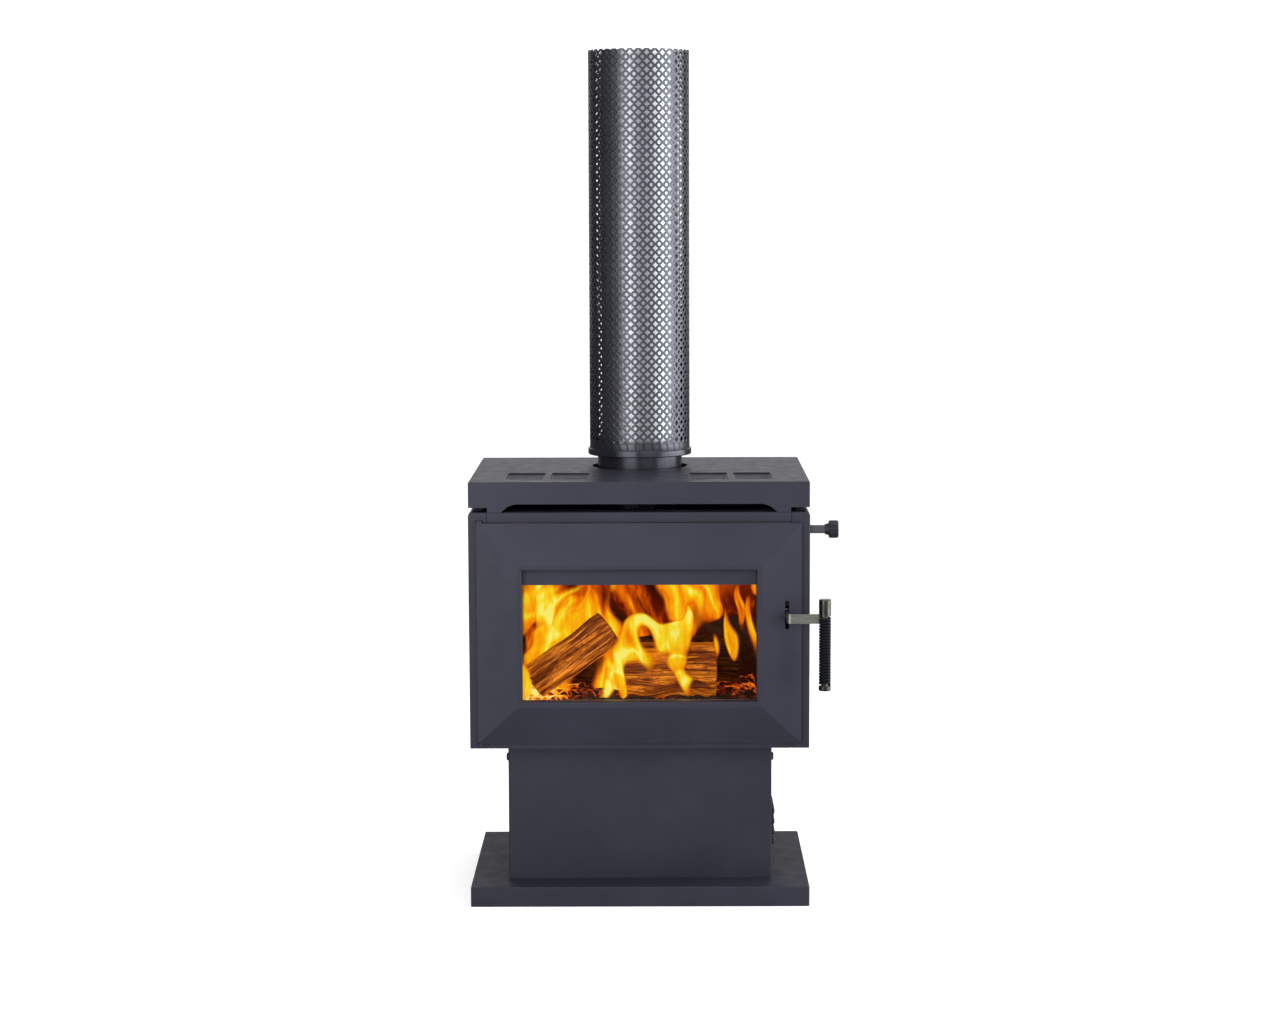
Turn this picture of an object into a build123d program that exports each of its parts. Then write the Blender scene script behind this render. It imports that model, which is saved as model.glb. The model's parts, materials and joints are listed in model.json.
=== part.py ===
from build123d import *
import os
from math import cos, radians, sin

# Free-standing wood burning stove on a pedestal, with a perforated flue casing.
# Millimetres. X to the right, Y to the back, Z up. The origin is on the floor,
# on the stove's centre line, under the front face of the body.

# ---- driving dimensions -------------------------------------------------

# sheet metal
casing_sheet = 3.0
tray_sheet = 2.5
thin_sheet = 1.5
firebox_plate = 6.0
seam = 0.8            # open seam between neighbouring panels
weld_inset = 0.2      # a panel stands this far inside the one that wraps it
door_face_gap = 1.5   # between the door's back and the body
past = 5.0            # a cut runs this far past the faces it opens
edge_soft = 2.5       # rounding of folded sheet edges

# base tray
base_width = 651.0
base_height = 38.6
base_front = 27.0     # tray stands this far ahead of the body
base_back_inset = 26.0

# pedestal
pedestal_width = 510.0
pedestal_setback = 45.0
pedestal_back_inset = 62.0
rail_leg = 42.0         # angle rails that carry the body
rail_foot = 30.0
rail_sheet = 3.0
bolt_drop = 30.0        # bolts below the body's underside
bolt_head = 8.0         # radius of the dome
bolt_dome = 4.6         # and its height
bolt_shank = 4.0
bolt_tail = 12.0
nut_radius = 7.4
nut_thickness = 3.2
bolt_front = 25.0       # bolts from the pedestal's front and back faces
bolt_back = 40.0
rear_slot_count = 5
rear_slot_width = 120.0
rear_slot_height = 6.0
rear_slot_pitch = 22.0
rear_slot_bottom = 60.0
grommet_setback = 70.0
grommet_height = 22.0
grommet_radius = 7.0
grommet_thickness = 2.2
grommet_hole = 4.0
body_bottom = 304.0   # height of the body's underside above the floor

# body
body_width = 651.0
body_height = 456.0
body_depth = 462.0
body_corner = 8.0
front_return = 35.5   # width of the side casing's folded front edge
top_rail_height = 19.0
bottom_rail_height = 11.0
rail_flange = 45.0
rod_hole_gap = 0.5
casing_slot_rows = 2
casing_slot_count = 8
casing_slot_width = 50.0
casing_slot_height = 8.0
casing_slot_inset = 60.0
casing_slot_rise = 290.0

# lid
lid_overlap = 0.5     # the lid's ends stop this far inside the body's sides
lid_lip = 49.0
lid_rise = 58.0       # body top to lid top
lid_overhang = 16.0   # at the back
lid_foot_height = 15.6
lid_foot_outer = 289.0
lid_foot_width = 25.0
lid_foot_bevel = 14.0
vent_width = 72.0
vent_depth = 121.0
vent_front = 47.0
vent_inner = 98.0     # from the centre line to the first vent
vent_between = 13.0
grille_slot = 3.4
grille_pitch = 8.0
grille_sheet = 2.0
grille_margin = 6.0
grille_end = 3.0
lid_soft = 2.4
lid_foot_knee = 11.0    # height of the bend in the feet's slope
lid_rail_inset = 10.0   # rails under the lid, inside the side casings' returns
lid_rail_sheet = 3.0
lid_rail_foot = 16.0
lid_rail_front = 40.0
lid_rail_back = 30.0

# flue
flue_setback = 163.0  # flue centre ahead of the lid's back edge
flue_radius = 75.0
flue_wall = 1.0
flue_fit = 0.3
spigot_wall = 9.1
spigot_above_lid = 24.0
spigot_flange = 13.0
spigot_ledge = 5.0
spigot_foot = 6.0
lid_hole_gap = 11.0
shroud_radius = 100.0
shroud_wall = 1.2
shroud_length = 786.0
ring_height = 13.0
ring_overlap = 3.3
ring_upstand = 7.0
ring_soft = 2.0
ring_sheet = 2.5
ring_floor = 4.0
ring_bore_gap = 2.0
spacer_band = 9.0       # stands inside the shroud's plain bottom edge
spacer_arm = 12.0
spacer_sheet = 1.6
spacer_count = 3

# firebox
convection_gap = 50.5   # between the casing's inside and the firebox
firebox_rear_gap = 42.0
firebox_floor_height = 26.0
firebox_top_gap = 60.0
brick = 25.0
brick_joint = 1.0
brick_wall_height = 279.0
hearth_setback = 12.0
baffle_setback = 90.0
baffle_side_gap = 2.0
baffle_rear_gap = 40.0
support_x = 150.0       # channels under the firebox
support_width = 24.0
support_sheet = 4.0
support_end = 20.0
side_brick_count = 3
rear_brick_count = 4
air_slot_width = 10.0
airwash_reach = 22.0
airwash_drop = 2.0      # shelf above the window ridge
airwash_plate = 2.0

# door
door_reveal = 16.0      # body edge to door edge, left and right
door_top_reveal = 20.0
door_edge = 8.0         # door's outer edge stands this far ahead of the body
door_ridge = 28.0       # and its inner ridge this far
stile_bevel = 73.5
top_bevel = 76.0
bottom_bevel = 70.0
rim = 13.0
rim_bottom = 14.7
door_skin = 5.0
ridge_soft = 3.2
door_lip = 6.0
seal_land = 22.0        # solid band round the rim that holds glass and seal
seal_width = 12.0
seal_depth = 7.5
seal_gap = 0.3
glass_thickness = 4.0
glass_overlap = 6.5
glass_fit = 1.0
gasket_thickness = 1.4
airwash_height = 28.5
airwash_sheet = 3.0
retainer_thickness = 2.3
retainer_setback = 0.5  # glass retainers stop this far outside the window
retainer_land = 6.5     # and reach this far past the glass rebate
retainer_fit = 0.3
screw_radius = 1.6
screw_head = 3.0

# hinge
hinge_inset = 4.5
hinge_forward = 5.6
hinge_pin_radius = 2.0
running_fit = 0.05
hinge_pin_length = 18.0
lug_thickness = 4.0
lug_gap = 0.6

# latch and handle
latch_inset = 28.2      # door edge to the latch slot's centre
latch_height = 178.9    # latch pivot below the door's top edge
pivot_forward = 6.0
slot_width = 8.0
slot_length = 55.2
slot_rise = 3.1         # slot centre above the latch pivot
arm_thickness = 4.0
arm_height = 18.0
arm_forward = 46.0
arm_bend = 4.0
grip_offset = 69.4      # latch slot to the grip, along X
grip_radius = 11.8
grip_core = 6.5
grip_top = 39.6         # above the latch pivot
grip_bottom = 135.0     # below it
top_cap = 31.9
bottom_cap = 9.3
grip_gap = 0.2
handle_bolt_radius = 3.0
hook_reach = 26.0
keeper_radius = 4.0
keeper_setback = 13.0   # keeper bar behind the body's front
keeper_rise = 10.0      # keeper bar above the latch pivot
keeper_slot_gap = 1.0
keeper_slot_drop = 27.0
keeper_slot_rise = 18.0
ear_sheet = 2.5
ear_gap = 3.8           # ears outside the latch slot
ear_reach = 7.0
ear_drop = 8.0
web_rise = 11.0
web_sheet = 3.0
pivot_half_length = 13.0

# air control
rod_radius = 8.0
rod_height = 35.6       # below the body's top
rod_setback = 20.0
knob_start = 36.5       # knob face beyond the body's side
knob_length = 18.0
knob_radius = 16.85
hub_length = 8.0
knob_flutes = 16
slide_length = 190.0
slide_width = 30.0
slide_sheet = 3.0
slide_front = 8.0       # slide's front edge ahead of the rod's axis
slide_gap = 0.2         # under the slide
slide_lug = 4.0
slide_lug_depth = 10.0
slide_end_gap = 16.0    # to the firebox side
slide_travel = 26.0
air_slot = 22.0         # the land between two slots is as long as the slide's travel
air_slots_count = 3

# fan
fan_radius = 48.0
fan_width = 46.0
fan_blades = 24
fan_clearance = 6.0
fan_setback = 115.0     # fan axis behind the pedestal's front
fan_height = 84.0       # fan axis above the base tray
fan_side_gap = 40.0     # scroll to the pedestal's side
outlet_width = 52.0
motor_radius = 34.0
motor_length = 42.0
shaft_radius = 4.0
impeller_disc = 2.0
impeller_hub = 11.0
hub_reach = 16.0
shaft_seat = 6.0
motor_soft = 5.0
impeller_rim = 3.0
vane_depth = 8.7
vane_sheet = 1.2

# louvres
louvre_count = 4
louvre_height = 14.0
louvre_pitch = 19.5
louvre_proud = 8.0
louvre_length = 120.0
louvre_setback = 45.0
louvre_bottom = 55.0    # above the base tray
louvre_wall = 1.6
louvre_end = 5.0

# firewood
log_gap = 2.0
log_setback = 55.0      # behind the hearth bricks' front edge
ember_height = 24.0
ember_side_gap = 6.0

# ---- derived places -----------------------------------------------------

half_body = body_width / 2
half_base = base_width / 2
half_pedestal = pedestal_width / 2
body_top = body_bottom + body_height
base_back = body_depth - base_back_inset
pedestal_back = body_depth - pedestal_back_inset
return_x = half_body - front_return

lid_top = body_top + lid_rise
half_lid = half_body - lid_overlap
lid_back = body_depth + lid_overhang
flue_y = lid_back - flue_setback

firebox_x = half_body - casing_sheet - convection_gap
firebox_in = firebox_x - firebox_plate
firebox_back = body_depth - firebox_rear_gap
firebox_bottom = body_bottom + firebox_floor_height
firebox_top = body_top - firebox_top_gap
hearth_z = firebox_bottom + firebox_plate + brick
brick_top = hearth_z + brick_wall_height
brick_x = firebox_in - brick
brick_y = firebox_back - firebox_plate - brick

fire_right = brick_x - ember_side_gap
fire_left = -fire_right
log_front = firebox_plate + hearth_setback + log_setback
log_bottom = hearth_z + ember_height + log_gap

spigot_radius = flue_radius + flue_fit + spigot_wall
spigot_top = lid_top + spigot_above_lid
ring_radius = shroud_radius + ring_overlap
ring_top = spigot_top + ring_height
flue_top = ring_top + shroud_length

half_door = half_body - door_reveal
door_bottom = body_bottom + bottom_rail_height
door_top = body_top - door_top_reveal
ridge_x = half_door - stile_bevel
ridge_bottom = door_bottom + bottom_bevel
ridge_top = door_top - top_bevel
window_x = ridge_x - rim
window_bottom = ridge_bottom + rim_bottom
window_top = ridge_top - rim
land_x = ridge_x + seal_land
land_bottom = ridge_bottom - seal_land
land_top = ridge_top + seal_land

glass_x = window_x + glass_overlap
glass_bottom = window_bottom - glass_overlap
glass_top = window_top + glass_overlap
retainer_back = door_face_gap + 0.2
glass_back = retainer_back + retainer_thickness
glass_front = glass_back + glass_thickness
gasket_front = glass_front + gasket_thickness

hinge_x = -half_door + hinge_inset
latch_x = half_door - latch_inset
latch_z = door_top - latch_height
grip_x = latch_x + grip_offset
grip_y = -(arm_forward + grip_radius + grip_gap)

rod_z = body_top - rod_height
rod_end = half_body + knob_start
slide_right = firebox_in - slide_end_gap
slide_left = slide_right - slide_length

fan_y = pedestal_setback + fan_setback
fan_z = base_height + fan_height
scroll_radius = fan_radius + fan_clearance + 6.0
scroll_right = half_pedestal - fan_side_gap
scroll_left = scroll_right - fan_width - 2 * fan_clearance


# ---- shape helpers ------------------------------------------------------

def block(x0, x1, y0, y1, z0, z1):
    # solid box between two corners
    centre = Pos((x0 + x1) / 2, (y0 + y1) / 2, (z0 + z1) / 2)
    return centre * Box(x1 - x0, y1 - y0, z1 - z0)


def bar_x(radius, x0, x1, y, z):
    return Pos((x0 + x1) / 2, y, z) * Rot(0, 90, 0) * Cylinder(radius, x1 - x0)


def bar_y(radius, y0, y1, x, z):
    return Pos(x, (y0 + y1) / 2, z) * Rot(90, 0, 0) * Cylinder(radius, y1 - y0)


def bar_z(radius, z0, z1, x, y):
    return Pos(x, y, (z0 + z1) / 2) * Cylinder(radius, z1 - z0)


def tube_z(outer, inner, z0, z1, x=0.0, y=0.0):
    return bar_z(outer, z0, z1, x, y) - bar_z(inner, z0 - 1, z1 + 1, x, y)


def group(solids):
    # several separate solids that share one node
    return Compound(children=list(solids))


def mirrored_x(solid):
    return mirror(solid, Plane.YZ)


def window_frame(outer, inner, y0, y1):
    # rectangular ring in the XZ plane; each size is (half width, bottom, top)
    ring = block(-outer[0], outer[0], y0, y1, outer[1], outer[2])
    return ring - block(-inner[0], inner[0], y0 - 1, y1 + 1, inner[1], inner[2])


def upright_face(half_width, bottom, top, y):
    plane = Plane(origin=(0, y, (bottom + top) / 2), x_dir=(1, 0, 0), z_dir=(0, -1, 0))
    return plane * Rectangle(2 * half_width, top - bottom)


def prism_x(points, x0, x1):
    # outline of (y, z) points carried along X
    face = Plane.YZ.offset(x0) * make_face(Polyline(*points, close=True))
    return extrude(face, x1 - x0)


def edges_near(solid, axis, **limits):
    # edges parallel to an axis whose centres lie inside the given limits
    chosen = solid.edges().filter_by(axis)
    for name, (low, high) in limits.items():
        chosen = chosen.filter_by(
            lambda e, n=name, a=low, b=high: a <= getattr(e.center(), n) <= b)
    return chosen


# ---- base and pedestal --------------------------------------------------

def base_tray():
    solid = block(-half_base, half_base, -base_front, base_back, 0, base_height)
    solid = fillet(solid.edges().filter_by(Axis.Z), 4)
    solid = fillet(solid.faces().sort_by(Axis.Z)[-1].edges(), 2)
    inside = block(-half_base + tray_sheet, half_base - tray_sheet, -base_front + tray_sheet,
                   base_back - tray_sheet, -1, base_height - tray_sheet)
    return solid - inside


def base_board():
    edge = tray_sheet + 1.0
    return block(-half_base + edge, half_base - edge, -base_front + edge, base_back - edge,
                 0, base_height - tray_sheet)


def pedestal_front():
    panel = block(-half_pedestal, half_pedestal, pedestal_setback,
                  pedestal_setback + casing_sheet, base_height, body_bottom)
    return fillet(edges_near(panel, Axis.Z, Y=(0, pedestal_setback + 0.1)), edge_soft)


def pedestal_side():
    # right-hand side sheet; bolt_places() sets its two bolt holes
    panel = block(half_pedestal - casing_sheet, half_pedestal,
                  pedestal_setback + casing_sheet, pedestal_back, base_height, body_bottom)
    for y, z in bolt_places():
        panel -= bar_x(bolt_shank + 0.4, half_pedestal - 20, half_pedestal + 20, y, z)
    return panel


def pedestal_left_side():
    return mirrored_x(pedestal_side())


def louvre_rows():
    return [base_height + louvre_bottom + i * louvre_pitch for i in range(louvre_count)]


def pedestal_right_side():
    # pressed louvres: a rounded hood over a slot that opens downwards
    panel = pedestal_side()
    y0 = pedestal_setback + louvre_setback
    y1 = y0 + louvre_length
    outer = half_pedestal + louvre_proud
    for z in louvre_rows():
        hood = block(half_pedestal - casing_sheet / 2, outer, y0, y1, z, z + louvre_height)
        hood = fillet(edges_near(hood, Axis.Y, X=(outer - 1, outer + 1)), 4)
        hood = fillet(edges_near(hood, Axis.Z, X=(outer - 1, outer + 1)), 3)
        panel += hood
    for z in louvre_rows():
        panel -= block(half_pedestal - casing_sheet - 1, outer - louvre_wall,
                       y0 + louvre_end, y1 - louvre_end, z - 1, z + louvre_height - louvre_wall)
        panel += block(half_pedestal - casing_sheet, half_pedestal, y0, y1, z - 3, z)
    return panel


def pedestal_rear_panel():
    inset = casing_sheet + weld_inset
    panel = block(-half_pedestal + inset, half_pedestal - inset, pedestal_back - casing_sheet,
                  pedestal_back, base_height, body_bottom)
    half_slot = rear_slot_width / 2
    for i in range(rear_slot_count):
        z = base_height + rear_slot_bottom + i * rear_slot_pitch
        panel -= block(-half_slot, half_slot, pedestal_back - casing_sheet - past,
                       pedestal_back + past, z, z + rear_slot_height)
    return panel


def bolt_places():
    y_front = pedestal_setback + bolt_front
    y_back = pedestal_back - bolt_back
    return [(y_front, body_bottom - bolt_drop), (y_back, body_bottom - bolt_drop)]


def mounting_rails():
    # angle rails that join the pedestal's sides to the underside of the body
    outer = half_pedestal - casing_sheet
    y0 = pedestal_setback + casing_sheet + 1
    y1 = pedestal_back - casing_sheet - 1
    rail = block(outer - rail_sheet, outer, y0, y1, body_bottom - rail_leg, body_bottom)
    rail += block(outer - rail_foot, outer, y0, y1, body_bottom - rail_sheet, body_bottom)
    for y, z in bolt_places():
        rail -= bar_x(bolt_shank, outer - rail_foot - 5, outer + 5, y, z)
    return group([rail, mirrored_x(rail)])


def pedestal_bolt():
    # along X with the seat of its head on the origin: button head outside, nut inside
    inner = -casing_sheet - rail_sheet
    head = bar_x(bolt_head, 0, bolt_dome, 0, 0)
    head = fillet(head.edges().sort_by(Axis.X)[-1], bolt_dome - 1)
    nut = extrude(Plane.YZ * RegularPolygon(nut_radius, 6), nut_thickness)
    return head + bar_x(bolt_shank, inner - bolt_tail, 0, 0, 0) + Pos(inner - nut_thickness, 0, 0) * nut


def pedestal_bolts():
    bolts = []
    for y, z in bolt_places():
        bolt = Pos(half_pedestal, y, z) * pedestal_bolt()
        bolts += [bolt, mirrored_x(bolt)]
    return group(bolts)


def cable_grommet():
    y = pedestal_setback + grommet_setback
    z = base_height + grommet_height
    ring = bar_x(grommet_radius, half_pedestal, half_pedestal + grommet_thickness, y, z)
    ring = fillet(ring.edges().sort_by(Axis.X)[-1], grommet_thickness / 2)
    return ring - bar_x(grommet_hole, half_pedestal - past, half_pedestal + past, y, z)


# ---- fan ----------------------------------------------------------------

def fan_housing():
    # scroll with a round inlet facing the louvres and a duct up to the body
    def outline(shrink):
        wheel = bar_x(scroll_radius - shrink, scroll_left + shrink, scroll_right - shrink,
                      fan_y, fan_z)
        duct = block(scroll_left + shrink, scroll_right - shrink, fan_y - scroll_radius + shrink,
                     fan_y - scroll_radius + outlet_width - shrink, fan_z, body_bottom)
        return wheel + duct
    shell = outline(0) - outline(thin_sheet)
    duct_mouth = block(scroll_left + thin_sheet, scroll_right - thin_sheet,
                       fan_y - scroll_radius + thin_sheet,
                       fan_y - scroll_radius + outlet_width - thin_sheet,
                       body_bottom - 5, body_bottom + 5)
    inlet = bar_x(fan_radius - 8, scroll_right - 5, scroll_right + 5, fan_y, fan_z)
    shaft_hole = bar_x(shaft_radius + 3, scroll_left - 5, scroll_left + 5, fan_y, fan_z)
    foot_z = fan_z - scroll_radius
    feet = block(scroll_left + 5, scroll_right - 5, fan_y - 20, fan_y + 20, base_height,
                 foot_z + 8)
    feet -= bar_x(scroll_radius, scroll_left - 5, scroll_right + 5, fan_y, fan_z)
    return shell - duct_mouth - inlet - shaft_hole + feet


def fan_impeller():
    # squirrel-cage wheel: back disc, hub, a ring of vanes and a front rim
    x0 = scroll_left + thin_sheet + fan_clearance - impeller_disc
    x1 = x0 + fan_width
    wheel = bar_x(fan_radius, x0, x0 + impeller_disc, fan_y, fan_z)
    wheel += bar_x(impeller_hub, x0, x0 + hub_reach, fan_y, fan_z)
    rim_ring = bar_x(fan_radius, x1 - impeller_rim, x1, fan_y, fan_z)
    rim_ring -= bar_x(fan_radius - vane_depth, x1 - past, x1 + past, fan_y, fan_z)
    wheel += rim_ring
    vane = block(x0 + 1, x1 - 1, -vane_sheet / 2, vane_sheet / 2,
                 fan_radius - vane_depth - 0.8, fan_radius - 0.8)
    for i in range(fan_blades):
        wheel += Pos(0, fan_y, fan_z) * Rot(i * 360 / fan_blades, 0, 0) * vane
    return wheel - bar_x(shaft_radius, x0 - past, x1 + past, fan_y, fan_z)


def fan_shaft():
    x1 = scroll_left + thin_sheet + fan_clearance + hub_reach
    return bar_x(shaft_radius, scroll_left - motor_length + shaft_seat, x1, fan_y, fan_z)


def fan_motor():
    body = bar_x(motor_radius, scroll_left - motor_length, scroll_left, fan_y, fan_z)
    body = fillet(body.edges().sort_by(Axis.X)[0], motor_soft)
    return body - bar_x(shaft_radius + running_fit, scroll_left - motor_length + shaft_seat - 0.2,
                        scroll_left + past, fan_y, fan_z)


# ---- body casing --------------------------------------------------------

def casing_side():
    # one folded sheet: side, front return and top flange, rounded at the top corner
    outer = block(return_x + seam / 2, half_body, 0, body_depth, body_bottom, body_top)
    outer = fillet(edges_near(outer, Axis.Y, X=(half_body - 1, half_body + 1),
                              Z=(body_top - 1, body_top + 1)), body_corner)
    outer = fillet(edges_near(outer, Axis.Z, X=(half_body - 1, half_body + 1),
                              Y=(-1, 1)), edge_soft)
    inner = block(return_x - past, half_body - casing_sheet, casing_sheet, body_depth + past,
                  body_bottom - past, body_top - casing_sheet)
    inner = fillet(edges_near(inner, Axis.Y, X=(half_body - casing_sheet - 1, half_body),
                              Z=(body_top - casing_sheet - 1, body_top)),
                   body_corner - casing_sheet)
    return outer - inner


def casing_left_panel():
    return mirrored_x(casing_side())


def casing_right_panel():
    return casing_side() - bar_x(rod_radius + rod_hole_gap, half_body - casing_sheet - past,
                                 half_body + past, rod_setback, rod_z)


def casing_rear_panel():
    edge = half_body - casing_sheet - weld_inset
    panel_top = body_top - casing_sheet - weld_inset
    panel = block(-edge, edge, body_depth - casing_sheet, body_depth,
                  body_bottom + casing_sheet, panel_top)
    panel = fillet(edges_near(panel, Axis.Y, Z=(panel_top - 1, panel_top + 1)),
                   body_corner - casing_sheet)
    # a narrower upstand closes the space under the lid
    panel += block(-return_x, return_x, body_depth - casing_sheet, body_depth,
                   panel_top - 1, lid_top - casing_sheet)
    for row in range(casing_slot_rows):
        z = body_bottom + casing_slot_inset + row * casing_slot_rise
        span = 2 * (edge - casing_slot_inset) - casing_slot_width
        for i in range(casing_slot_count):
            x = -edge + casing_slot_inset + i * span / (casing_slot_count - 1)
            panel -= block(x, x + casing_slot_width, body_depth - casing_sheet - past,
                           body_depth + past, z, z + casing_slot_height)
    return panel


def casing_floor():
    edge = half_body - casing_sheet - weld_inset
    panel = block(-edge, edge, casing_sheet + weld_inset, body_depth,
                  body_bottom, body_bottom + casing_sheet)
    return panel - block(scroll_left + thin_sheet, scroll_right - thin_sheet,
                         fan_y - scroll_radius + thin_sheet,
                         fan_y - scroll_radius + outlet_width - thin_sheet,
                         body_bottom - past, body_bottom + casing_sheet + past)


def bottom_rail():
    edge = return_x - seam / 2
    return block(-edge, edge, 0, casing_sheet, body_bottom, door_bottom - seam / 2)


def top_rail():
    edge = return_x - seam / 2
    rail = block(-edge, edge, 0, rail_flange, body_top - top_rail_height, body_top)
    rail = fillet(edges_near(rail, Axis.X, Y=(-1, 1), Z=(body_top - 1, body_top + 1)), 2)
    return rail - block(-edge - 1, edge + 1, casing_sheet, rail_flange + 1,
                        body_top - top_rail_height - 1, body_top - casing_sheet)


def firebox_supports():
    # channels open to the outside
    low = body_bottom + casing_sheet
    rail = block(support_x, support_x + support_width, firebox_plate + support_end,
                 firebox_back - support_end, low, firebox_bottom)
    rail -= block(support_x + support_sheet, support_x + support_width + past, firebox_plate,
                  firebox_back, low + support_sheet, firebox_bottom - support_sheet)
    return group([rail, mirrored_x(rail)])


# ---- firebox ------------------------------------------------------------

def firebox_floor():
    return block(-firebox_x, firebox_x, firebox_plate, firebox_back,
                 firebox_bottom, firebox_bottom + firebox_plate)


def firebox_sides():
    side = block(firebox_in, firebox_x, firebox_plate, firebox_back - firebox_plate,
                 firebox_bottom + firebox_plate, firebox_top - firebox_plate)
    return group([side, mirrored_x(side)])


def firebox_rear():
    return block(-firebox_x, firebox_x, firebox_back - firebox_plate, firebox_back,
                 firebox_bottom + firebox_plate, firebox_top - firebox_plate)


def air_slots():
    # slots shared by the firebox roof and the air slide over it
    slots = []
    for i in range(air_slots_count):
        x = slide_left + slide_travel + i * (air_slot + slide_travel)
        slots.append(block(x, x + air_slot, rod_setback,
                           rod_setback + air_slot_width, firebox_top - firebox_plate - past,
                           firebox_top + slide_sheet + past))
    return slots


def firebox_roof():
    plate = block(-firebox_x, firebox_x, firebox_plate, firebox_back,
                  firebox_top - firebox_plate, firebox_top)
    plate -= bar_z(flue_radius + flue_fit - spigot_ledge, firebox_top - firebox_plate - past,
                   firebox_top + past, 0, flue_y)
    for slot in air_slots():
        plate -= slot
    return plate


def keeper_slot():
    half = slot_width / 2 + keeper_slot_gap
    return block(latch_x - half, latch_x + half, -past, firebox_plate + past,
                 latch_z - keeper_slot_drop, latch_z + keeper_slot_rise)


def firebox_front():
    edge = return_x - seam / 2
    plate = window_frame((edge, door_bottom, body_top - top_rail_height - seam / 2),
                         (ridge_x, ridge_bottom, ridge_top), 0, firebox_plate)
    return plate - keeper_slot()


def brick_row(x0, x1, y0, y1, z0, z1, axis, count):
    # equal bricks side by side along one axis, with open joints between them
    bricks = []
    low = {"x": x0, "y": y0}[axis]
    high = {"x": x1, "y": y1}[axis]
    size = (high - low - (count - 1) * brick_joint) / count
    for i in range(count):
        a = low + i * (size + brick_joint)
        if axis == "x":
            bricks.append(block(a, a + size, y0, y1, z0, z1))
        else:
            bricks.append(block(x0, x1, a, a + size, z0, z1))
    return bricks


def hearth_bricks():
    y0 = firebox_plate + hearth_setback
    y1 = firebox_back - firebox_plate
    z0 = firebox_bottom + firebox_plate
    y_mid = (y0 + y1) / 2
    half_joint = brick_joint / 2
    rows = brick_row(-firebox_in, firebox_in, y0, y_mid - half_joint, z0, hearth_z, "x",
                     side_brick_count)
    rows += brick_row(-firebox_in, firebox_in, y_mid + half_joint, y1, z0, hearth_z, "x",
                      side_brick_count)
    return group(rows)


def side_bricks():
    y0 = firebox_plate + hearth_setback
    right = brick_row(brick_x, firebox_in, y0, brick_y, hearth_z, brick_top, "y",
                      side_brick_count)
    return group(right + [mirrored_x(b) for b in right])


def rear_bricks():
    y1 = firebox_back - firebox_plate
    return group(brick_row(-firebox_in, firebox_in, brick_y, y1, hearth_z, brick_top, "x",
                           rear_brick_count))


def baffle_plate():
    half = firebox_in - baffle_side_gap
    return block(-half, half, baffle_setback, firebox_back - firebox_plate - baffle_rear_gap,
                 brick_top, brick_top + firebox_plate)


def airwash_channel():
    # angle under the roof that turns the inlet air down behind the glass
    y1 = rod_setback + airwash_reach
    shelf_z = ridge_top + airwash_drop
    shelf = block(-firebox_in, firebox_in, firebox_plate, y1, shelf_z, shelf_z + airwash_plate)
    lip = block(-firebox_in, firebox_in, y1 - airwash_plate, y1, shelf_z + airwash_plate,
                firebox_top - firebox_plate)
    return shelf + lip


# ---- air control --------------------------------------------------------

def air_slide_plate():
    y0 = rod_setback - slide_front
    low = firebox_top + slide_gap
    plate = block(slide_left, slide_right, y0, y0 + slide_width, low, low + slide_sheet)
    for slot in air_slots():
        plate -= slot
    lug = block(slide_right - slide_lug, slide_right, y0, rod_setback + slide_lug_depth,
                low + slide_sheet, rod_z + rod_radius)
    return plate + lug


def air_control_rod():
    return bar_x(rod_radius, slide_right, rod_end, rod_setback, rod_z)


def air_control_knob():
    # coned hub with a fluted grip, bored for the rod
    start = rod_end - hub_length
    profile = Polyline((start, rod_radius + 1.2), (rod_end, rod_radius + 4),
                       (rod_end, knob_radius - 1), (rod_end + 1.2, knob_radius),
                       (rod_end + knob_length - 2, knob_radius),
                       (rod_end + knob_length, knob_radius - 2),
                       (rod_end + knob_length, 0), (start, 0), close=True)
    knob = revolve(make_face(profile), Axis.X)
    for i in range(knob_flutes):
        angle = radians(360 * i / knob_flutes)
        knob -= bar_x(1.5, rod_end - 1, rod_end + knob_length + 1,
                      (knob_radius + 0.5) * cos(angle), (knob_radius + 0.5) * sin(angle))
    knob -= bar_x(rod_radius, start - 5, rod_end, 0, 0)
    return Pos(0, rod_setback, rod_z) * knob


# ---- lid ----------------------------------------------------------------

def vents():
    openings = []
    for i in range(2):
        x0 = vent_inner + i * (vent_width + vent_between)
        hole = block(x0, x0 + vent_width, vent_front, vent_front + vent_depth,
                     lid_top - 10, lid_top + 10)
        openings += [hole, mirrored_x(hole)]
    return openings


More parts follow.
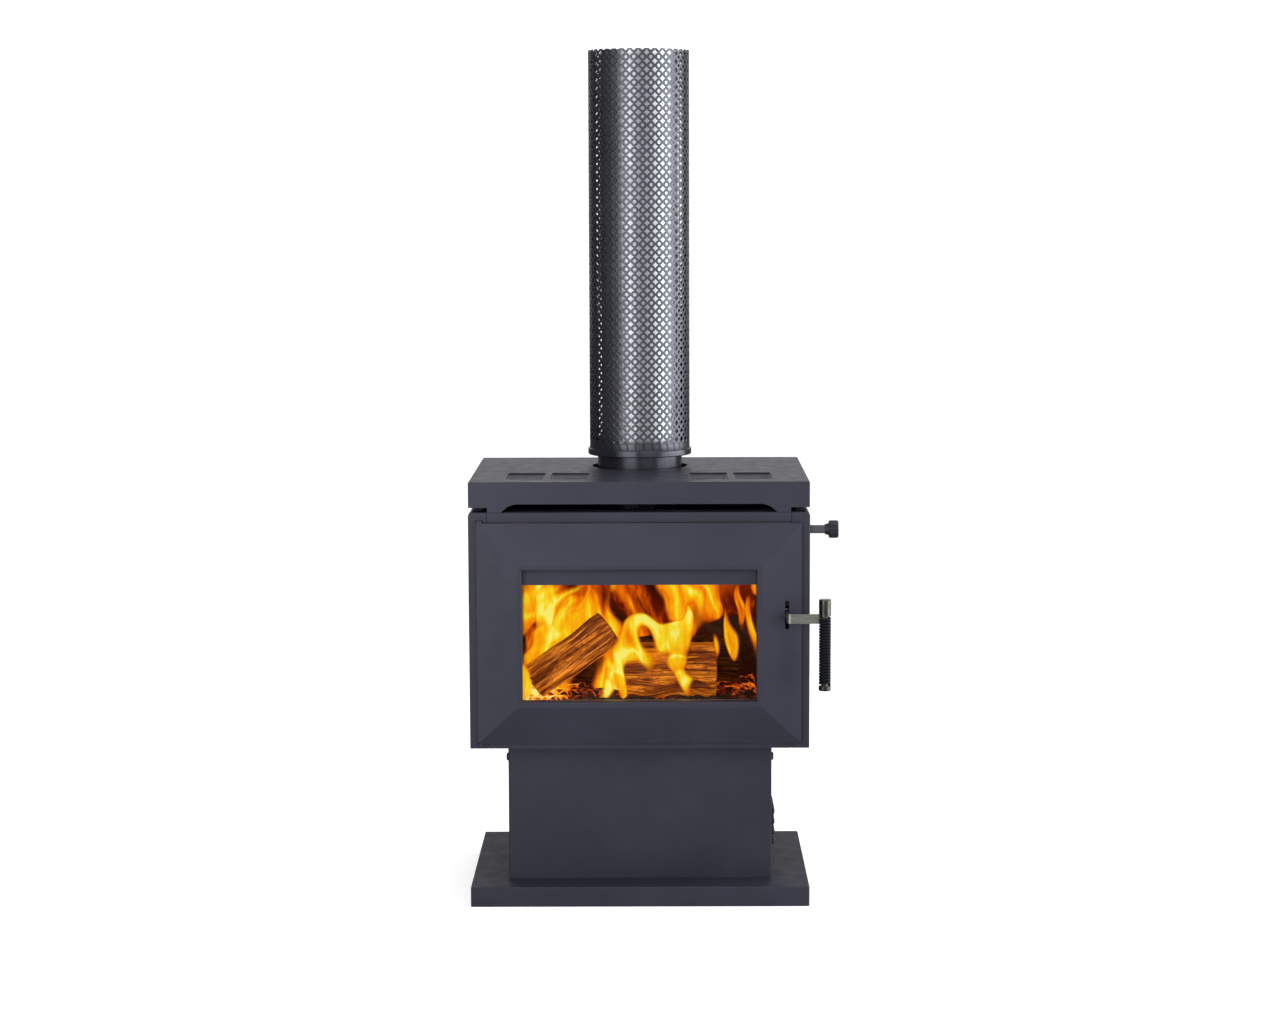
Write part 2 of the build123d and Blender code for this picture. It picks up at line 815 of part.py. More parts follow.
def top_plate():
    # folded lid: deep front and side lips, and two feet on the front lip
    lip_bottom = lid_top - lid_lip
    foot_inner = lid_foot_outer - lid_foot_width
    shell = block(-half_lid, half_lid, 0, lid_back, body_top, lid_top)
    shell = fillet(shell.edges().filter_by(Axis.Z), edge_soft)
    shell = fillet(shell.faces().sort_by(Axis.Z)[-1].edges(), lid_soft)
    shell -= block(-half_lid + casing_sheet, half_lid - casing_sheet, casing_sheet,
                   lid_back - casing_sheet, body_top - 5, lid_top - casing_sheet)
    shell -= block(-half_lid - 5, half_lid + 5, casing_sheet, lid_back + 5,
                   body_top - 5, lip_bottom)
    shell -= block(lid_foot_outer, half_lid + 5, -5, lid_back, body_top - 5, lip_bottom)
    shell -= block(-half_lid - 5, -lid_foot_outer, -5, lid_back, body_top - 5, lip_bottom)
    arch = [(-foot_inner, body_top - 1), (-foot_inner + lid_foot_bevel, body_top + lid_foot_knee),
            (-foot_inner + 2 * lid_foot_bevel, body_top + lid_foot_height),
            (foot_inner - 2 * lid_foot_bevel, body_top + lid_foot_height),
            (foot_inner - lid_foot_bevel, body_top + lid_foot_knee), (foot_inner, body_top - 1)]
    arch_plane = Plane(origin=(0, 10, 0), x_dir=(1, 0, 0), z_dir=(0, -1, 0))
    shell -= extrude(arch_plane * make_face(Polyline(*arch, close=True)), 20)
    for hole in vents():
        shell -= hole
    return shell - bar_z(spigot_radius + lid_hole_gap, lid_top - 10, lid_top + 10, 0, flue_y)


def vent_grilles():
    # slotted sheets under the lid, one below each pair of vents
    z1 = lid_top - casing_sheet
    x0 = vent_inner - grille_margin
    x1 = vent_inner + 2 * vent_width + vent_between + grille_margin
    y0 = vent_front - grille_margin
    y1 = vent_front + vent_depth + grille_margin
    sheet = block(x0, x1, y0, y1, z1 - grille_sheet, z1)
    rows = int(vent_depth / grille_pitch)
    start = vent_front + (vent_depth - rows * grille_pitch + grille_pitch - grille_slot) / 2
    cuts = []
    for i in range(2):
        a = vent_inner + i * (vent_width + vent_between) + grille_end
        for row in range(rows):
            y = start + row * grille_pitch
            cuts.append(block(a, a + vent_width - 2 * grille_end, y, y + grille_slot,
                              z1 - grille_sheet - 1, z1 + 1))
    sheet -= cuts
    return group([sheet, mirrored_x(sheet)])


def lid_rails():
    x0 = return_x + lid_rail_inset
    y1 = body_depth - lid_rail_back
    rail = block(x0, x0 + lid_rail_sheet, lid_rail_front, y1, body_top, lid_top - casing_sheet)
    rail += block(x0, x0 + lid_rail_foot, lid_rail_front, y1, body_top,
                  body_top + lid_rail_sheet)
    return group([rail, mirrored_x(rail)])


# ---- flue ---------------------------------------------------------------

def flue_spigot():
    foot_top = firebox_top + spigot_foot
    body = bar_z(spigot_radius, firebox_top, spigot_top, 0, flue_y)
    body += bar_z(spigot_radius + spigot_flange, firebox_top, foot_top, 0, flue_y)
    body -= bar_z(flue_radius + flue_fit - spigot_ledge, firebox_top - past, spigot_top + past,
                  0, flue_y)
    return body - bar_z(flue_radius + flue_fit, foot_top, spigot_top + past, 0, flue_y)


def flue_pipe():
    return tube_z(flue_radius, flue_radius - flue_wall, firebox_top + spigot_foot, flue_top,
                  0, flue_y)


def shroud_ring():
    inner = shroud_radius - shroud_wall - flue_fit
    upstand_top = ring_top + ring_upstand
    ring = bar_z(ring_radius, spigot_top, ring_top, 0, flue_y)
    ring = fillet(ring.edges(), ring_soft)
    ring += bar_z(inner, spigot_top + 1, upstand_top, 0, flue_y)
    ring -= bar_z(inner - ring_sheet, spigot_top + ring_floor, upstand_top + past, 0, flue_y)
    return ring - bar_z(flue_radius + ring_bore_gap, spigot_top - past, ring_top + past,
                        0, flue_y)


def flue_shroud():
    return tube_z(shroud_radius, shroud_radius - shroud_wall, ring_top, flue_top, 0, flue_y)


def shroud_spacer():
    # clamp band on the flue pipe with arms out to the ring's upstand
    z = ring_top + ring_upstand
    reach = shroud_radius - shroud_wall - flue_fit
    half_arm = spacer_arm / 2
    band = tube_z(flue_radius + spacer_sheet, flue_radius + running_fit, z, z + spacer_band)
    for i in range(spacer_count):
        arm = block(flue_radius + 1, reach, -half_arm, half_arm, z, z + spacer_sheet)
        arm &= bar_z(reach, z, z + spacer_sheet, 0, 0)
        band += Rot(0, 0, 90 + i * 360 / spacer_count) * arm
    return Pos(0, flue_y, 0) * band


# ---- door ---------------------------------------------------------------

def door_bevel(shift):
    # four mitred slopes from the outer edge up to the ridge, moved back by shift
    # a narrow second slope softens the ridge itself
    soft = ridge_soft
    edge = upright_face(half_door, door_bottom, door_top, -door_edge + shift)
    ridge = upright_face(ridge_x, ridge_bottom, ridge_top, -door_ridge + shift + soft / 4)
    crest = upright_face(ridge_x - soft, ridge_bottom + soft, ridge_top - soft,
                         -door_ridge + shift)
    return loft([edge, ridge], ruled=True) + loft([ridge, crest], ruled=True)


def door_frame():
    slab = block(-half_door, half_door, -door_edge, -door_face_gap, door_bottom, door_top)
    window = block(-window_x, window_x, -door_ridge - 5, 5, window_bottom, window_top)
    door = slab + door_bevel(0)
    door = fillet(edges_near(door, Axis.Y, Y=(-door_edge, 0)), 3)
    door -= window
    front = edges_near(door, Axis.X, Y=(-door_ridge - 0.1, -door_ridge + 0.1),
                       X=(-1, 1), Z=(window_bottom - 1, window_top + 1))
    front += edges_near(door, Axis.Z, Y=(-door_ridge - 0.1, -door_ridge + 0.1),
                        X=(-window_x - 1, window_x + 1))
    door = fillet(front, 4)
    door = chamfer(edges_near(door, Axis.Z, X=(-half_door - 1, -half_door + 1),
                              Y=(-door_face_gap - 0.1, 0)), 2.5)

    # hollow back, left solid round the window, the hinge corners and the latch
    hollow = door_bevel(door_skin)
    hollow += block(-half_door, half_door, -door_edge + door_skin, 5, door_bottom, door_top)
    hollow &= block(-half_door + door_lip, half_door - door_lip, -door_ridge, 5,
                    door_bottom + door_lip, door_top - door_lip)
    hollow -= block(-land_x, land_x, -door_ridge, 5, land_bottom, land_top)
    for z0, z1 in ((door_bottom, door_bottom + 24), (door_top - 24, door_top)):
        hollow -= block(-half_door, hinge_x + 12, -door_ridge, 5, z0, z1)
    hollow -= block(latch_x - pivot_half_length, latch_x + pivot_half_length, -door_ridge, 5,
                    latch_z - 34, latch_z + 40)
    door -= hollow

    # rope groove, glass rebate and retainer rebate
    groove_in = land_x - 4 - seal_width
    door -= window_frame((land_x - 4, land_bottom + 4, land_top - 4),
                         (groove_in, land_bottom + 4 + seal_width, land_top - 4 - seal_width),
                         -door_face_gap - seal_depth, 5)
    grow = glass_overlap + glass_fit
    door -= block(-window_x - grow, window_x + grow, -gasket_front, 5,
                  window_bottom - grow, window_top + grow)
    step = retainer_setback + retainer_width() + retainer_fit
    door -= block(-window_x - step, window_x + step, -glass_back, 5,
                  window_bottom - step, window_top + step)

    # latch slot, its pivot hole, hinge bores and retainer screw holes
    slot_plane = Plane(origin=(latch_x, 5, latch_z + slot_rise), x_dir=(0, 0, 1),
                       z_dir=(0, -1, 0))
    door -= extrude(slot_plane * SlotOverall(slot_length, slot_width), 60)
    door -= bar_x(handle_bolt_radius, latch_x - pivot_half_length,
                  latch_x + pivot_half_length, -pivot_forward, latch_z)
    bore = hinge_pin_radius + running_fit
    deep = hinge_pin_length - lug_thickness
    door -= bar_z(bore, door_top - deep, door_top + 5, hinge_x, -hinge_forward)
    door -= bar_z(bore, door_bottom - 5, door_bottom + deep, hinge_x, -hinge_forward)
    for x, z in screw_places():
        door -= bar_y(screw_radius, -glass_back - 5, 0, x, z)
    return door


def retainer_width():
    # from just outside the window to past the glass rebate
    return glass_overlap + glass_fit + retainer_land - retainer_setback


def screw_places():
    reach = glass_overlap + glass_fit + 3.2
    x = window_x + reach
    places = []
    for side in (-1, 1):
        for share in (0.2, 0.8):
            z = window_bottom + share * (window_top - window_bottom)
            places.append((side * x, z))
            places.append((side * share * window_x,
                           (window_top + reach) if side > 0 else (window_bottom - reach)))
            places.append((-side * share * window_x,
                           (window_top + reach) if side > 0 else (window_bottom - reach)))
    return places


def glass_retainers():
    width = retainer_width()
    y0 = -glass_back
    y1 = -retainer_back
    outer = window_x + retainer_setback + width
    z0 = window_bottom - retainer_setback - width
    z1 = window_top + retainer_setback + width
    strips = [block(-outer, outer, y0, y1, z0, z0 + width),
              block(-outer, outer, y0, y1, z1 - width, z1)]
    for side in (-1, 1):
        a, b = sorted((side * outer, side * (outer - width)))
        strips.append(block(a, b, y0, y1, z0 + width + seam, z1 - width - seam))
    drilled = []
    for strip in strips:
        for x, z in screw_places():
            strip -= bar_y(screw_radius, y0 - 5, y1 + 5, x, z)
        drilled.append(strip)
    return group(drilled)


def retainer_screws():
    # pan heads on the retainers, shanks into the door
    screws = []
    head_back = -retainer_back + 1.2
    for x, z in screw_places():
        head = bar_y(screw_head, -retainer_back, head_back, x, z)
        head -= block(x - screw_head - 0.2, x + screw_head + 0.2,
                      head_back - 0.5, head_back + 1, z - 0.4, z + 0.4)
        screws.append(head + bar_y(screw_radius, -glass_back - 4.5, -retainer_back, x, z))
    return group(screws)


def door_glass():
    pane = block(-glass_x, glass_x, -glass_front, -glass_back, glass_bottom, glass_top)
    return fillet(pane.edges().filter_by(Axis.Y), 2)


def glass_gasket():
    return window_frame((glass_x, glass_bottom, glass_top),
                        (window_x + 0.5, window_bottom - 0.5, window_top + 0.5),
                        -gasket_front, -glass_front)


def airwash_strip():
    # painted strip across the top of the window, just ahead of the glass
    strip = block(-window_x, window_x, -gasket_front - airwash_sheet, -gasket_front,
                  window_top - airwash_height, window_top)
    return strip


def rope_seal():
    edge = land_x - 4 - 0.2
    inner = land_x - 4 - seal_width + 0.2
    outer_size = (edge, land_bottom + 4.2, land_top - 4.2)
    inner_size = (inner, land_bottom + 3.8 + seal_width, land_top - 3.8 - seal_width)
    rope = window_frame(outer_size, inner_size, -door_face_gap - seal_depth, -seal_gap)
    return fillet(rope.faces().sort_by(Axis.Y)[-1].edges(), 3)


# ---- hinge --------------------------------------------------------------

def hinge_lugs():
    # small shelves above and below the door that carry its pivot pins
    lugs = []
    low = door_bottom - lug_gap - lug_thickness
    high = door_top + lug_gap
    for z in (low, high):
        lug = block(hinge_x - 6, hinge_x + 6, -hinge_forward - 5, 0, z, z + lug_thickness)
        lug = fillet(edges_near(lug, Axis.Z, Y=(-hinge_forward - 6, -hinge_forward - 4)), 4.5)
        lugs.append(lug - bar_z(hinge_pin_radius, z - 5, z + 10, hinge_x, -hinge_forward))
    return group(lugs)


def hinge_pins():
    low = door_bottom - lug_gap - lug_thickness
    high = door_top + lug_gap + lug_thickness
    return group([bar_z(hinge_pin_radius, low, low + hinge_pin_length, hinge_x, -hinge_forward),
                  bar_z(hinge_pin_radius, high - hinge_pin_length, high, hinge_x,
                        -hinge_forward)])


# ---- latch and handle ---------------------------------------------------

def latch_arm():
    # flat strip: hook behind the pivot, straight through the door, then a bend to the grip
    x0 = latch_x - arm_thickness / 2
    x1 = latch_x + arm_thickness / 2
    half = arm_height / 2
    py = -pivot_forward
    bend_y = -arm_forward + arm_thickness + arm_bend
    outline = [(bend_y, latch_z - half), (py + 5, latch_z - half),
               (py + hook_reach + 5, latch_z - half - 3), (py + hook_reach + 6, latch_z - 5),
               (py + hook_reach + 5, latch_z + 5), (py + hook_reach, latch_z + 5),
               (py + hook_reach - 0.5, latch_z - 4), (py + 11, latch_z - 4),
               (py + 6, latch_z + half), (bend_y, latch_z + half)]
    arm = prism_x(outline, x0, x1)
    centre_x = x1 + arm_bend
    bend = tube_z(arm_bend + arm_thickness, arm_bend, latch_z - half, latch_z + half,
                  centre_x, bend_y)
    bend &= block(centre_x - 20, centre_x, bend_y - 20, bend_y, latch_z - 30, latch_z + 30)
    reach = block(centre_x, grip_x + half, -arm_forward, -arm_forward + arm_thickness,
                  latch_z - half, latch_z + half)
    reach = fillet(edges_near(reach, Axis.Y, X=(grip_x, grip_x + 20)), half - 0.1)
    arm = arm + bend + reach
    arm -= bar_x(handle_bolt_radius + running_fit, x0 - 5, x1 + 5, py, latch_z)
    return arm - bar_y(handle_bolt_radius, -arm_forward - 5, -arm_forward + 10, grip_x, latch_z)


def latch_pivot_pin():
    return bar_x(handle_bolt_radius, latch_x - pivot_half_length, latch_x + pivot_half_length,
                 -pivot_forward, latch_z)


def latch_keeper():
    # bracket on the back of the firebox front with a round bar for the hook
    z = latch_z + keeper_rise
    back = keeper_setback + ear_reach
    x0 = latch_x - slot_width / 2 - ear_gap
    x1 = latch_x + slot_width / 2 + ear_gap
    bracket = block(x0, x1, firebox_plate, back, z + web_rise, z + web_rise + web_sheet)
    for a in (x0, x1 - ear_sheet):
        bracket += block(a, a + ear_sheet, firebox_plate, back, z - ear_drop,
                         z + web_rise + web_sheet)
    return bracket + bar_x(keeper_radius, x0, x1, keeper_setback, z)


def handle_bar():
    # turned bar: wide polished ends and a narrow middle for the coil
    top = latch_z + grip_top
    bottom = latch_z - grip_bottom
    upper = bar_z(grip_radius - 0.3, top - top_cap, top, grip_x, grip_y)
    upper = fillet(upper.edges().sort_by(Axis.Z)[-1], 2)
    lower = bar_z(grip_radius - 0.3, bottom, bottom + bottom_cap, grip_x, grip_y)
    lower = fillet(lower.edges().sort_by(Axis.Z)[0], 2)
    bar = upper + lower + bar_z(grip_core, bottom + 2, top - 2, grip_x, grip_y)
    return bar - bar_y(handle_bolt_radius, grip_y, grip_y + 20, grip_x, latch_z)


def handle_coil():
    # envelope of the close-wound spring grip
    top = latch_z + grip_top - top_cap
    bottom = latch_z - grip_bottom + bottom_cap
    coil = tube_z(grip_radius, grip_core + 0.1, bottom, top, grip_x, grip_y)
    return coil - bar_y(handle_bolt_radius + 1.8, grip_y, grip_y + 20, grip_x, latch_z)


def handle_bolt():
    # stud from the back of the arm into the bar, with a shoulder between them
    nut_face = -arm_forward + arm_thickness
    stud = bar_y(handle_bolt_radius, grip_y, nut_face, grip_x, latch_z)
    shoulder = bar_y(handle_bolt_radius + 1.5, grip_y + grip_core + 0.2, -arm_forward,
                     grip_x, latch_z)
    nut_plane = Plane(origin=(grip_x, nut_face, latch_z), x_dir=(1, 0, 0), z_dir=(0, 1, 0))
    return stud + shoulder + extrude(nut_plane * RegularPolygon(6, 6), 4.5)


# ---- fire ---------------------------------------------------------------

def ember_bed():
    bed = block(fire_left, fire_right, firebox_plate + hearth_setback + 2, brick_y - 8,
                hearth_z, hearth_z + ember_height)
    return fillet(bed.faces().sort_by(Axis.Z)[-1].edges(), 8)


def split_log(length, width, height):
    # quarter of a trunk: flat split faces and a rounded bark side, along X from the origin
    outline = Polyline((0, 0), (width, 0))
    bark = ThreePointArc((width, 0), (width * 0.82, height * 0.72), (0, height))
    back = Polyline((0, height), (0, 0))
    face = make_face(outline + bark + back)
    log = extrude(Plane.YZ * face, length)
    return chamfer(log.edges().filter_by(Axis.X), 2)


def set_down(log, x, y, z):
    # move a log so that the lowest corner of its box comes to the given place
    low = log.bounding_box().min
    return Pos(x - low.X, y - low.Y, z - low.Z) * log


def front_log():
    length = (fire_right - fire_left) * 0.4
    log = split_log(length, 84, 96)
    return set_down(log, fire_right - length - 84, log_front + 8, log_bottom)


def rear_log():
    length = (fire_right - fire_left) * 0.86
    log = split_log(length, 96, 84)
    return set_down(log, fire_left + 34, log_front + 150, log_bottom)


def leaning_log():
    # rests on the embers at the left and leans up over the front log's end
    length = (fire_right - fire_left) * 0.42
    log = Rot(0, 0, 8) * Rot(0, -38, 0) * Rot(-40, 0, 0) * split_log(length, 56, 60)
    return set_down(log, fire_left, log_front - 20, log_bottom)


# ---- write the nodes ----------------------------------------------------

pieces = [
    base_tray, base_board, pedestal_front, pedestal_left_side, pedestal_right_side,
    pedestal_rear_panel, mounting_rails, pedestal_bolts, cable_grommet,
    fan_housing, fan_impeller, fan_shaft, fan_motor,
    casing_left_panel, casing_right_panel, casing_rear_panel, casing_floor,
    bottom_rail, top_rail, firebox_supports,
    firebox_floor, firebox_sides, firebox_rear, firebox_roof, firebox_front,
    hearth_bricks, side_bricks, rear_bricks, baffle_plate, airwash_channel,
    air_slide_plate, air_control_rod, air_control_knob,
    top_plate, vent_grilles, lid_rails,
    flue_spigot, flue_pipe, shroud_ring, flue_shroud, shroud_spacer,
    door_frame, glass_retainers, retainer_screws, door_glass, glass_gasket,
    airwash_strip, rope_seal, hinge_lugs, hinge_pins,
    latch_arm, latch_pivot_pin, latch_keeper, handle_bar, handle_coil, handle_bolt,
    ember_bed, front_log, rear_log, leaning_log,
]

os.makedirs("parts", exist_ok=True)
for piece in pieces:
    export_step(piece(), f"parts/{piece.__name__}.step")
print(len(pieces), "nodes written")
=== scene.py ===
import json
from math import pi, radians

import bmesh
import bpy
import numpy as np
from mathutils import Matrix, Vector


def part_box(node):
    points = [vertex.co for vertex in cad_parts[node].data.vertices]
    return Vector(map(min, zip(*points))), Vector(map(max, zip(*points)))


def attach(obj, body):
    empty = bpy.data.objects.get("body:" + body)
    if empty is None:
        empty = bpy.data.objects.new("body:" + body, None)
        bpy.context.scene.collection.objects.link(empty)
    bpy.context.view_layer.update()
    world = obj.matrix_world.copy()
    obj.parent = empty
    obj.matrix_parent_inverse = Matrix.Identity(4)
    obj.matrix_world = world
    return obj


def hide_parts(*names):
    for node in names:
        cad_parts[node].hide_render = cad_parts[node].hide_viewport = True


# Wood burning stove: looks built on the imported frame. Metres, +Z up, the front faces -Y.

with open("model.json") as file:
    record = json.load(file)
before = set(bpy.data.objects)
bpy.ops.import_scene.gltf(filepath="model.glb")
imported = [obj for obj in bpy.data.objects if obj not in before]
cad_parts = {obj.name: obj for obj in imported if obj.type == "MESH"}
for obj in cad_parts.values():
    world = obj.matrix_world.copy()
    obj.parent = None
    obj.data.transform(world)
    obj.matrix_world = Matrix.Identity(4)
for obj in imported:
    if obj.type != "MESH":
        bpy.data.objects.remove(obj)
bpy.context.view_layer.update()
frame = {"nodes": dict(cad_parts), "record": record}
nodes = frame["nodes"]
print("frame loaded:", len(nodes), "nodes")


def corners(node):
    low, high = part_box(node)
    return np.array(low), np.array(high)


# meshes

def gridFaces(rows, cols, closeRows=False, closeCols=False):
    # quads between neighbouring grid points; a closed direction wraps round
    i = np.arange(rows if closeRows else rows - 1)
    j = np.arange(cols if closeCols else cols - 1)
    a, b = np.meshgrid(i, j, indexing="ij")
    c, d = (a + 1) % rows, (b + 1) % cols
    quads = np.stack([a * cols + b, c * cols + b, c * cols + d, a * cols + d], axis=-1)
    return quads.reshape(-1, 4)


def makePiece(name, points, faces, material, body="stove", smooth=True):
    mesh = bpy.data.meshes.new(name)
    mesh.from_pydata(points.reshape(-1, 3).tolist(), [], [list(map(int, f)) for f in faces])
    mesh.polygons.foreach_set("use_smooth", [smooth] * len(mesh.polygons))
    mesh.materials.append(material)
    mesh.update()
    piece = bpy.data.objects.new(name, mesh)
    bpy.context.scene.collection.objects.link(piece)
    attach(piece, body)
    return piece


def weldPoints(piece, distance):
    # joins points that lie together and turns the faces outwards
    work = bmesh.new()
    work.from_mesh(piece.data)
    bmesh.ops.remove_doubles(work, verts=work.verts, dist=distance)
    bmesh.ops.recalc_face_normals(work, faces=work.faces)
    work.to_mesh(piece.data)
    work.free()


# materials

def newMaterial(name, **settings):
    # a Principled material with its plain sockets set; returns it and its node tree
    material = bpy.data.materials.new(name)
    material.use_nodes = True
    tree = material.node_tree
    shader = tree.nodes["Principled BSDF"]
    for socket, value in settings.items():
        shader.inputs[socket.replace("_", " ")].default_value = value
    return material, tree, shader


def place(tree, scale=(1, 1, 1)):
    # Object coordinates, stretched by scale
    where = tree.nodes.new("ShaderNodeTexCoord")
    mapping = tree.nodes.new("ShaderNodeMapping")
    mapping.inputs["Scale"].default_value = scale
    tree.links.new(where.outputs["Object"], mapping.inputs["Vector"])
    return mapping.outputs["Vector"]


def noise(tree, vector, scale, detail=3.0, rough=0.55, distort=0.0):
    node = tree.nodes.new("ShaderNodeTexNoise")
    node.inputs["Scale"].default_value = scale
    node.inputs["Detail"].default_value = detail
    node.inputs["Roughness"].default_value = rough
    node.inputs["Distortion"].default_value = distort
    tree.links.new(vector, node.inputs["Vector"])
    return node.outputs["Fac"]


def ramp(tree, source, *stops):
    # colour stops: (position, colour)
    node = tree.nodes.new("ShaderNodeValToRGB")
    band = node.color_ramp
    while len(band.elements) < len(stops):
        band.elements.new(0.5)
    for element, (position, colour) in zip(band.elements, stops):
        element.position = position
        element.color = (*colour, 1) if len(colour) == 3 else colour
    tree.links.new(source, node.inputs["Fac"])
    return node.outputs["Color"]


def spread(tree, source, low, high, fromLow=0.0, fromHigh=1.0):
    # stretches a value from one range to another
    node = tree.nodes.new("ShaderNodeMapRange")
    for socket, value in zip(("From Min", "From Max", "To Min", "To Max"),
                             (fromLow, fromHigh, low, high)):
        node.inputs[socket].default_value = value
    tree.links.new(source, node.inputs["Value"])
    return node.outputs["Result"]


def bump(tree, shader, height, strength, distance=0.001):
    node = tree.nodes.new("ShaderNodeBump")
    node.inputs["Strength"].default_value = strength
    node.inputs["Distance"].default_value = distance
    tree.links.new(height, node.inputs["Height"])
    tree.links.new(node.outputs["Normal"], shader.inputs["Normal"])


def satinPaint(name, dark, light, roughness=0.46, gloss=0.36, sheen=(0.86, 0.87, 1.0, 1)):
    # heat-proof paint: fine orange-peel grain, faint cloudy tone and a little uneven gloss
    material, tree, shader = newMaterial(name, Specular_IOR_Level=gloss, Specular_Tint=sheen)
    where = place(tree)
    cloud = noise(tree, where, 5.0, 4)
    tree.links.new(ramp(tree, cloud, (0.35, dark), (0.65, light)), shader.inputs["Base Color"])
    patch = noise(tree, where, 38.0, 3)
    tree.links.new(spread(tree, patch, roughness - 0.05, roughness + 0.07, 0.3, 0.7),
                   shader.inputs["Roughness"])
    bump(tree, shader, noise(tree, where, 900.0, 2), 0.16, 0.0004)
    return material


def brushedMetal(name, dark, light, roughness, stretch, metallic=1.0, grain=60.0):
    # metal with fine drawn lines along one direction
    material, tree, shader = newMaterial(name, Metallic=metallic)
    lines = noise(tree, place(tree, stretch), grain, 4, 0.6)
    tree.links.new(ramp(tree, lines, (0.3, dark), (0.7, light)), shader.inputs["Base Color"])
    cloud = noise(tree, place(tree), 14.0, 3)
    tree.links.new(spread(tree, cloud, roughness - 0.05, roughness + 0.08, 0.3, 0.7),
                   shader.inputs["Roughness"])
    bump(tree, shader, lines, 0.12, 0.0003)
    return material


paint = {"body": ((0.0175, 0.0175, 0.0275), (0.0225, 0.0225, 0.0345)),
         "lid": ((0.0185, 0.0185, 0.0285), (0.0225, 0.0225, 0.034))}
bodyPaint = satinPaint("bodyPaint", *paint["body"])
lidPaint = satinPaint("lidPaint", *paint["lid"], roughness=0.42)
rodPaint = satinPaint("rodPaint", (0.045, 0.045, 0.05), (0.07, 0.07, 0.077), 0.34)
collarPaint = satinPaint("collarPaint", (0.008, 0.008, 0.013), (0.012, 0.012, 0.018), 0.24, 0.9)
knobBlack = satinPaint("knobBlack", (0.010, 0.010, 0.012), (0.018, 0.018, 0.021), 0.42)
coilBlack = satinPaint("coilBlack", (0.002, 0.0025, 0.003), (0.004, 0.005, 0.006), 0.45, 0.2)
motorPaint = satinPaint("motorPaint", (0.02, 0.02, 0.022), (0.04, 0.04, 0.043), 0.4)
shroudSteel = brushedMetal("shroudSteel", (0.060, 0.061, 0.072), (0.090, 0.092, 0.106), 0.33,
                           (6, 6, 0.4), 0.85)
flueSteel = brushedMetal("flueSteel", (0.74, 0.76, 0.82), (0.90, 0.92, 0.97), 0.36, (4, 4, 0.3))
armSteel = brushedMetal("armSteel", (0.22, 0.22, 0.195), (0.39, 0.385, 0.35), 0.4, (0.6, 8, 8))
polishedSteel = brushedMetal("polishedSteel", (0.04, 0.039, 0.036), (0.11, 0.107, 0.098), 0.25,
                             (3, 3, 0.8), grain=90.0)
platedSteel = brushedMetal("platedSteel", (0.38, 0.38, 0.36), (0.55, 0.55, 0.53), 0.4, (3, 1, 3))
fanMetal = brushedMetal("fanMetal", (0.45, 0.46, 0.48), (0.62, 0.63, 0.65), 0.35, (1, 3, 3))


def castIron():
    # firebox plate: scaled dark steel with grey ash dust and brown heat stains
    material, tree, shader = newMaterial("firebox", Roughness=0.8, Metallic=0.3)
    where = place(tree)
    stain = noise(tree, where, 9.0, 6, 0.65, 0.8)
    tree.links.new(ramp(tree, stain, (0.3, (0.012, 0.011, 0.011)), (0.5, (0.035, 0.026, 0.022)),
                        (0.72, (0.10, 0.085, 0.075))), shader.inputs["Base Color"])
    bump(tree, shader, noise(tree, where, 260.0, 5), 0.5, 0.001)
    return material


def sootedBrick():
    # vermiculite brick: crumbly, tan where it is clean and black with soot in patches
    material, tree, shader = newMaterial("firebrick", Roughness=0.95)
    where = place(tree)
    soot = noise(tree, where, 7.0, 5, 0.6, 1.0)
    tree.links.new(ramp(tree, soot, (0.32, (0.03, 0.022, 0.018)), (0.55, (0.16, 0.10, 0.065)),
                        (0.75, (0.36, 0.27, 0.19))), shader.inputs["Base Color"])
    bump(tree, shader, noise(tree, where, 320.0, 6, 0.7), 0.7, 0.0015)
    return material


def clearGlass():
    # ceramic glass with a faint brown film of smoke
    material, tree, shader = newMaterial("windowGlass", Roughness=0.04, IOR=1.5)
    smoke = noise(tree, place(tree), 6.0, 4, 0.6, 0.7)
    tree.links.new(ramp(tree, smoke, (0.4, (0.05, 0.03, 0.02)), (0.75, (0.03, 0.015, 0.008))),
                   shader.inputs["Base Color"])
    tree.links.new(spread(tree, smoke, 0.012, 0.03, 0.3, 0.7), shader.inputs["Alpha"])
    return material


def knittedRope():
    # glass-fibre rope: small slanted stitches
    material, tree, shader = newMaterial("sealRope", Roughness=0.95)
    where = place(tree)
    weave = tree.nodes.new("ShaderNodeTexVoronoi")
    weave.inputs["Scale"].default_value = 420.0
    tree.links.new(where, weave.inputs["Vector"])
    tree.links.new(ramp(tree, weave.outputs["Distance"], (0.1, (0.24, 0.24, 0.22)),
                        (0.7, (0.07, 0.07, 0.065))), shader.inputs["Base Color"])
    bump(tree, shader, weave.outputs["Distance"], 0.8, -0.001)
    return material


def cementBoard():
    material, tree, shader = newMaterial("cementBoard", Roughness=0.95)
    where = place(tree)
    tree.links.new(ramp(tree, noise(tree, where, 60.0, 6, 0.7), (0.3, (0.36, 0.35, 0.32)),
                        (0.7, (0.52, 0.51, 0.47))), shader.inputs["Base Color"])
    bump(tree, shader, noise(tree, where, 500.0, 4), 0.5, 0.0008)
    return material


def blackRubber():
    material, tree, shader = newMaterial("grommetRubber", Roughness=0.7)
    where = place(tree)
    tree.links.new(ramp(tree, noise(tree, where, 300.0, 3), (0.3, (0.008, 0.008, 0.008)),
                        (0.7, (0.02, 0.02, 0.02))), shader.inputs["Base Color"])
    bump(tree, shader, noise(tree, where, 900.0, 2), 0.3, 0.0004)
    return material


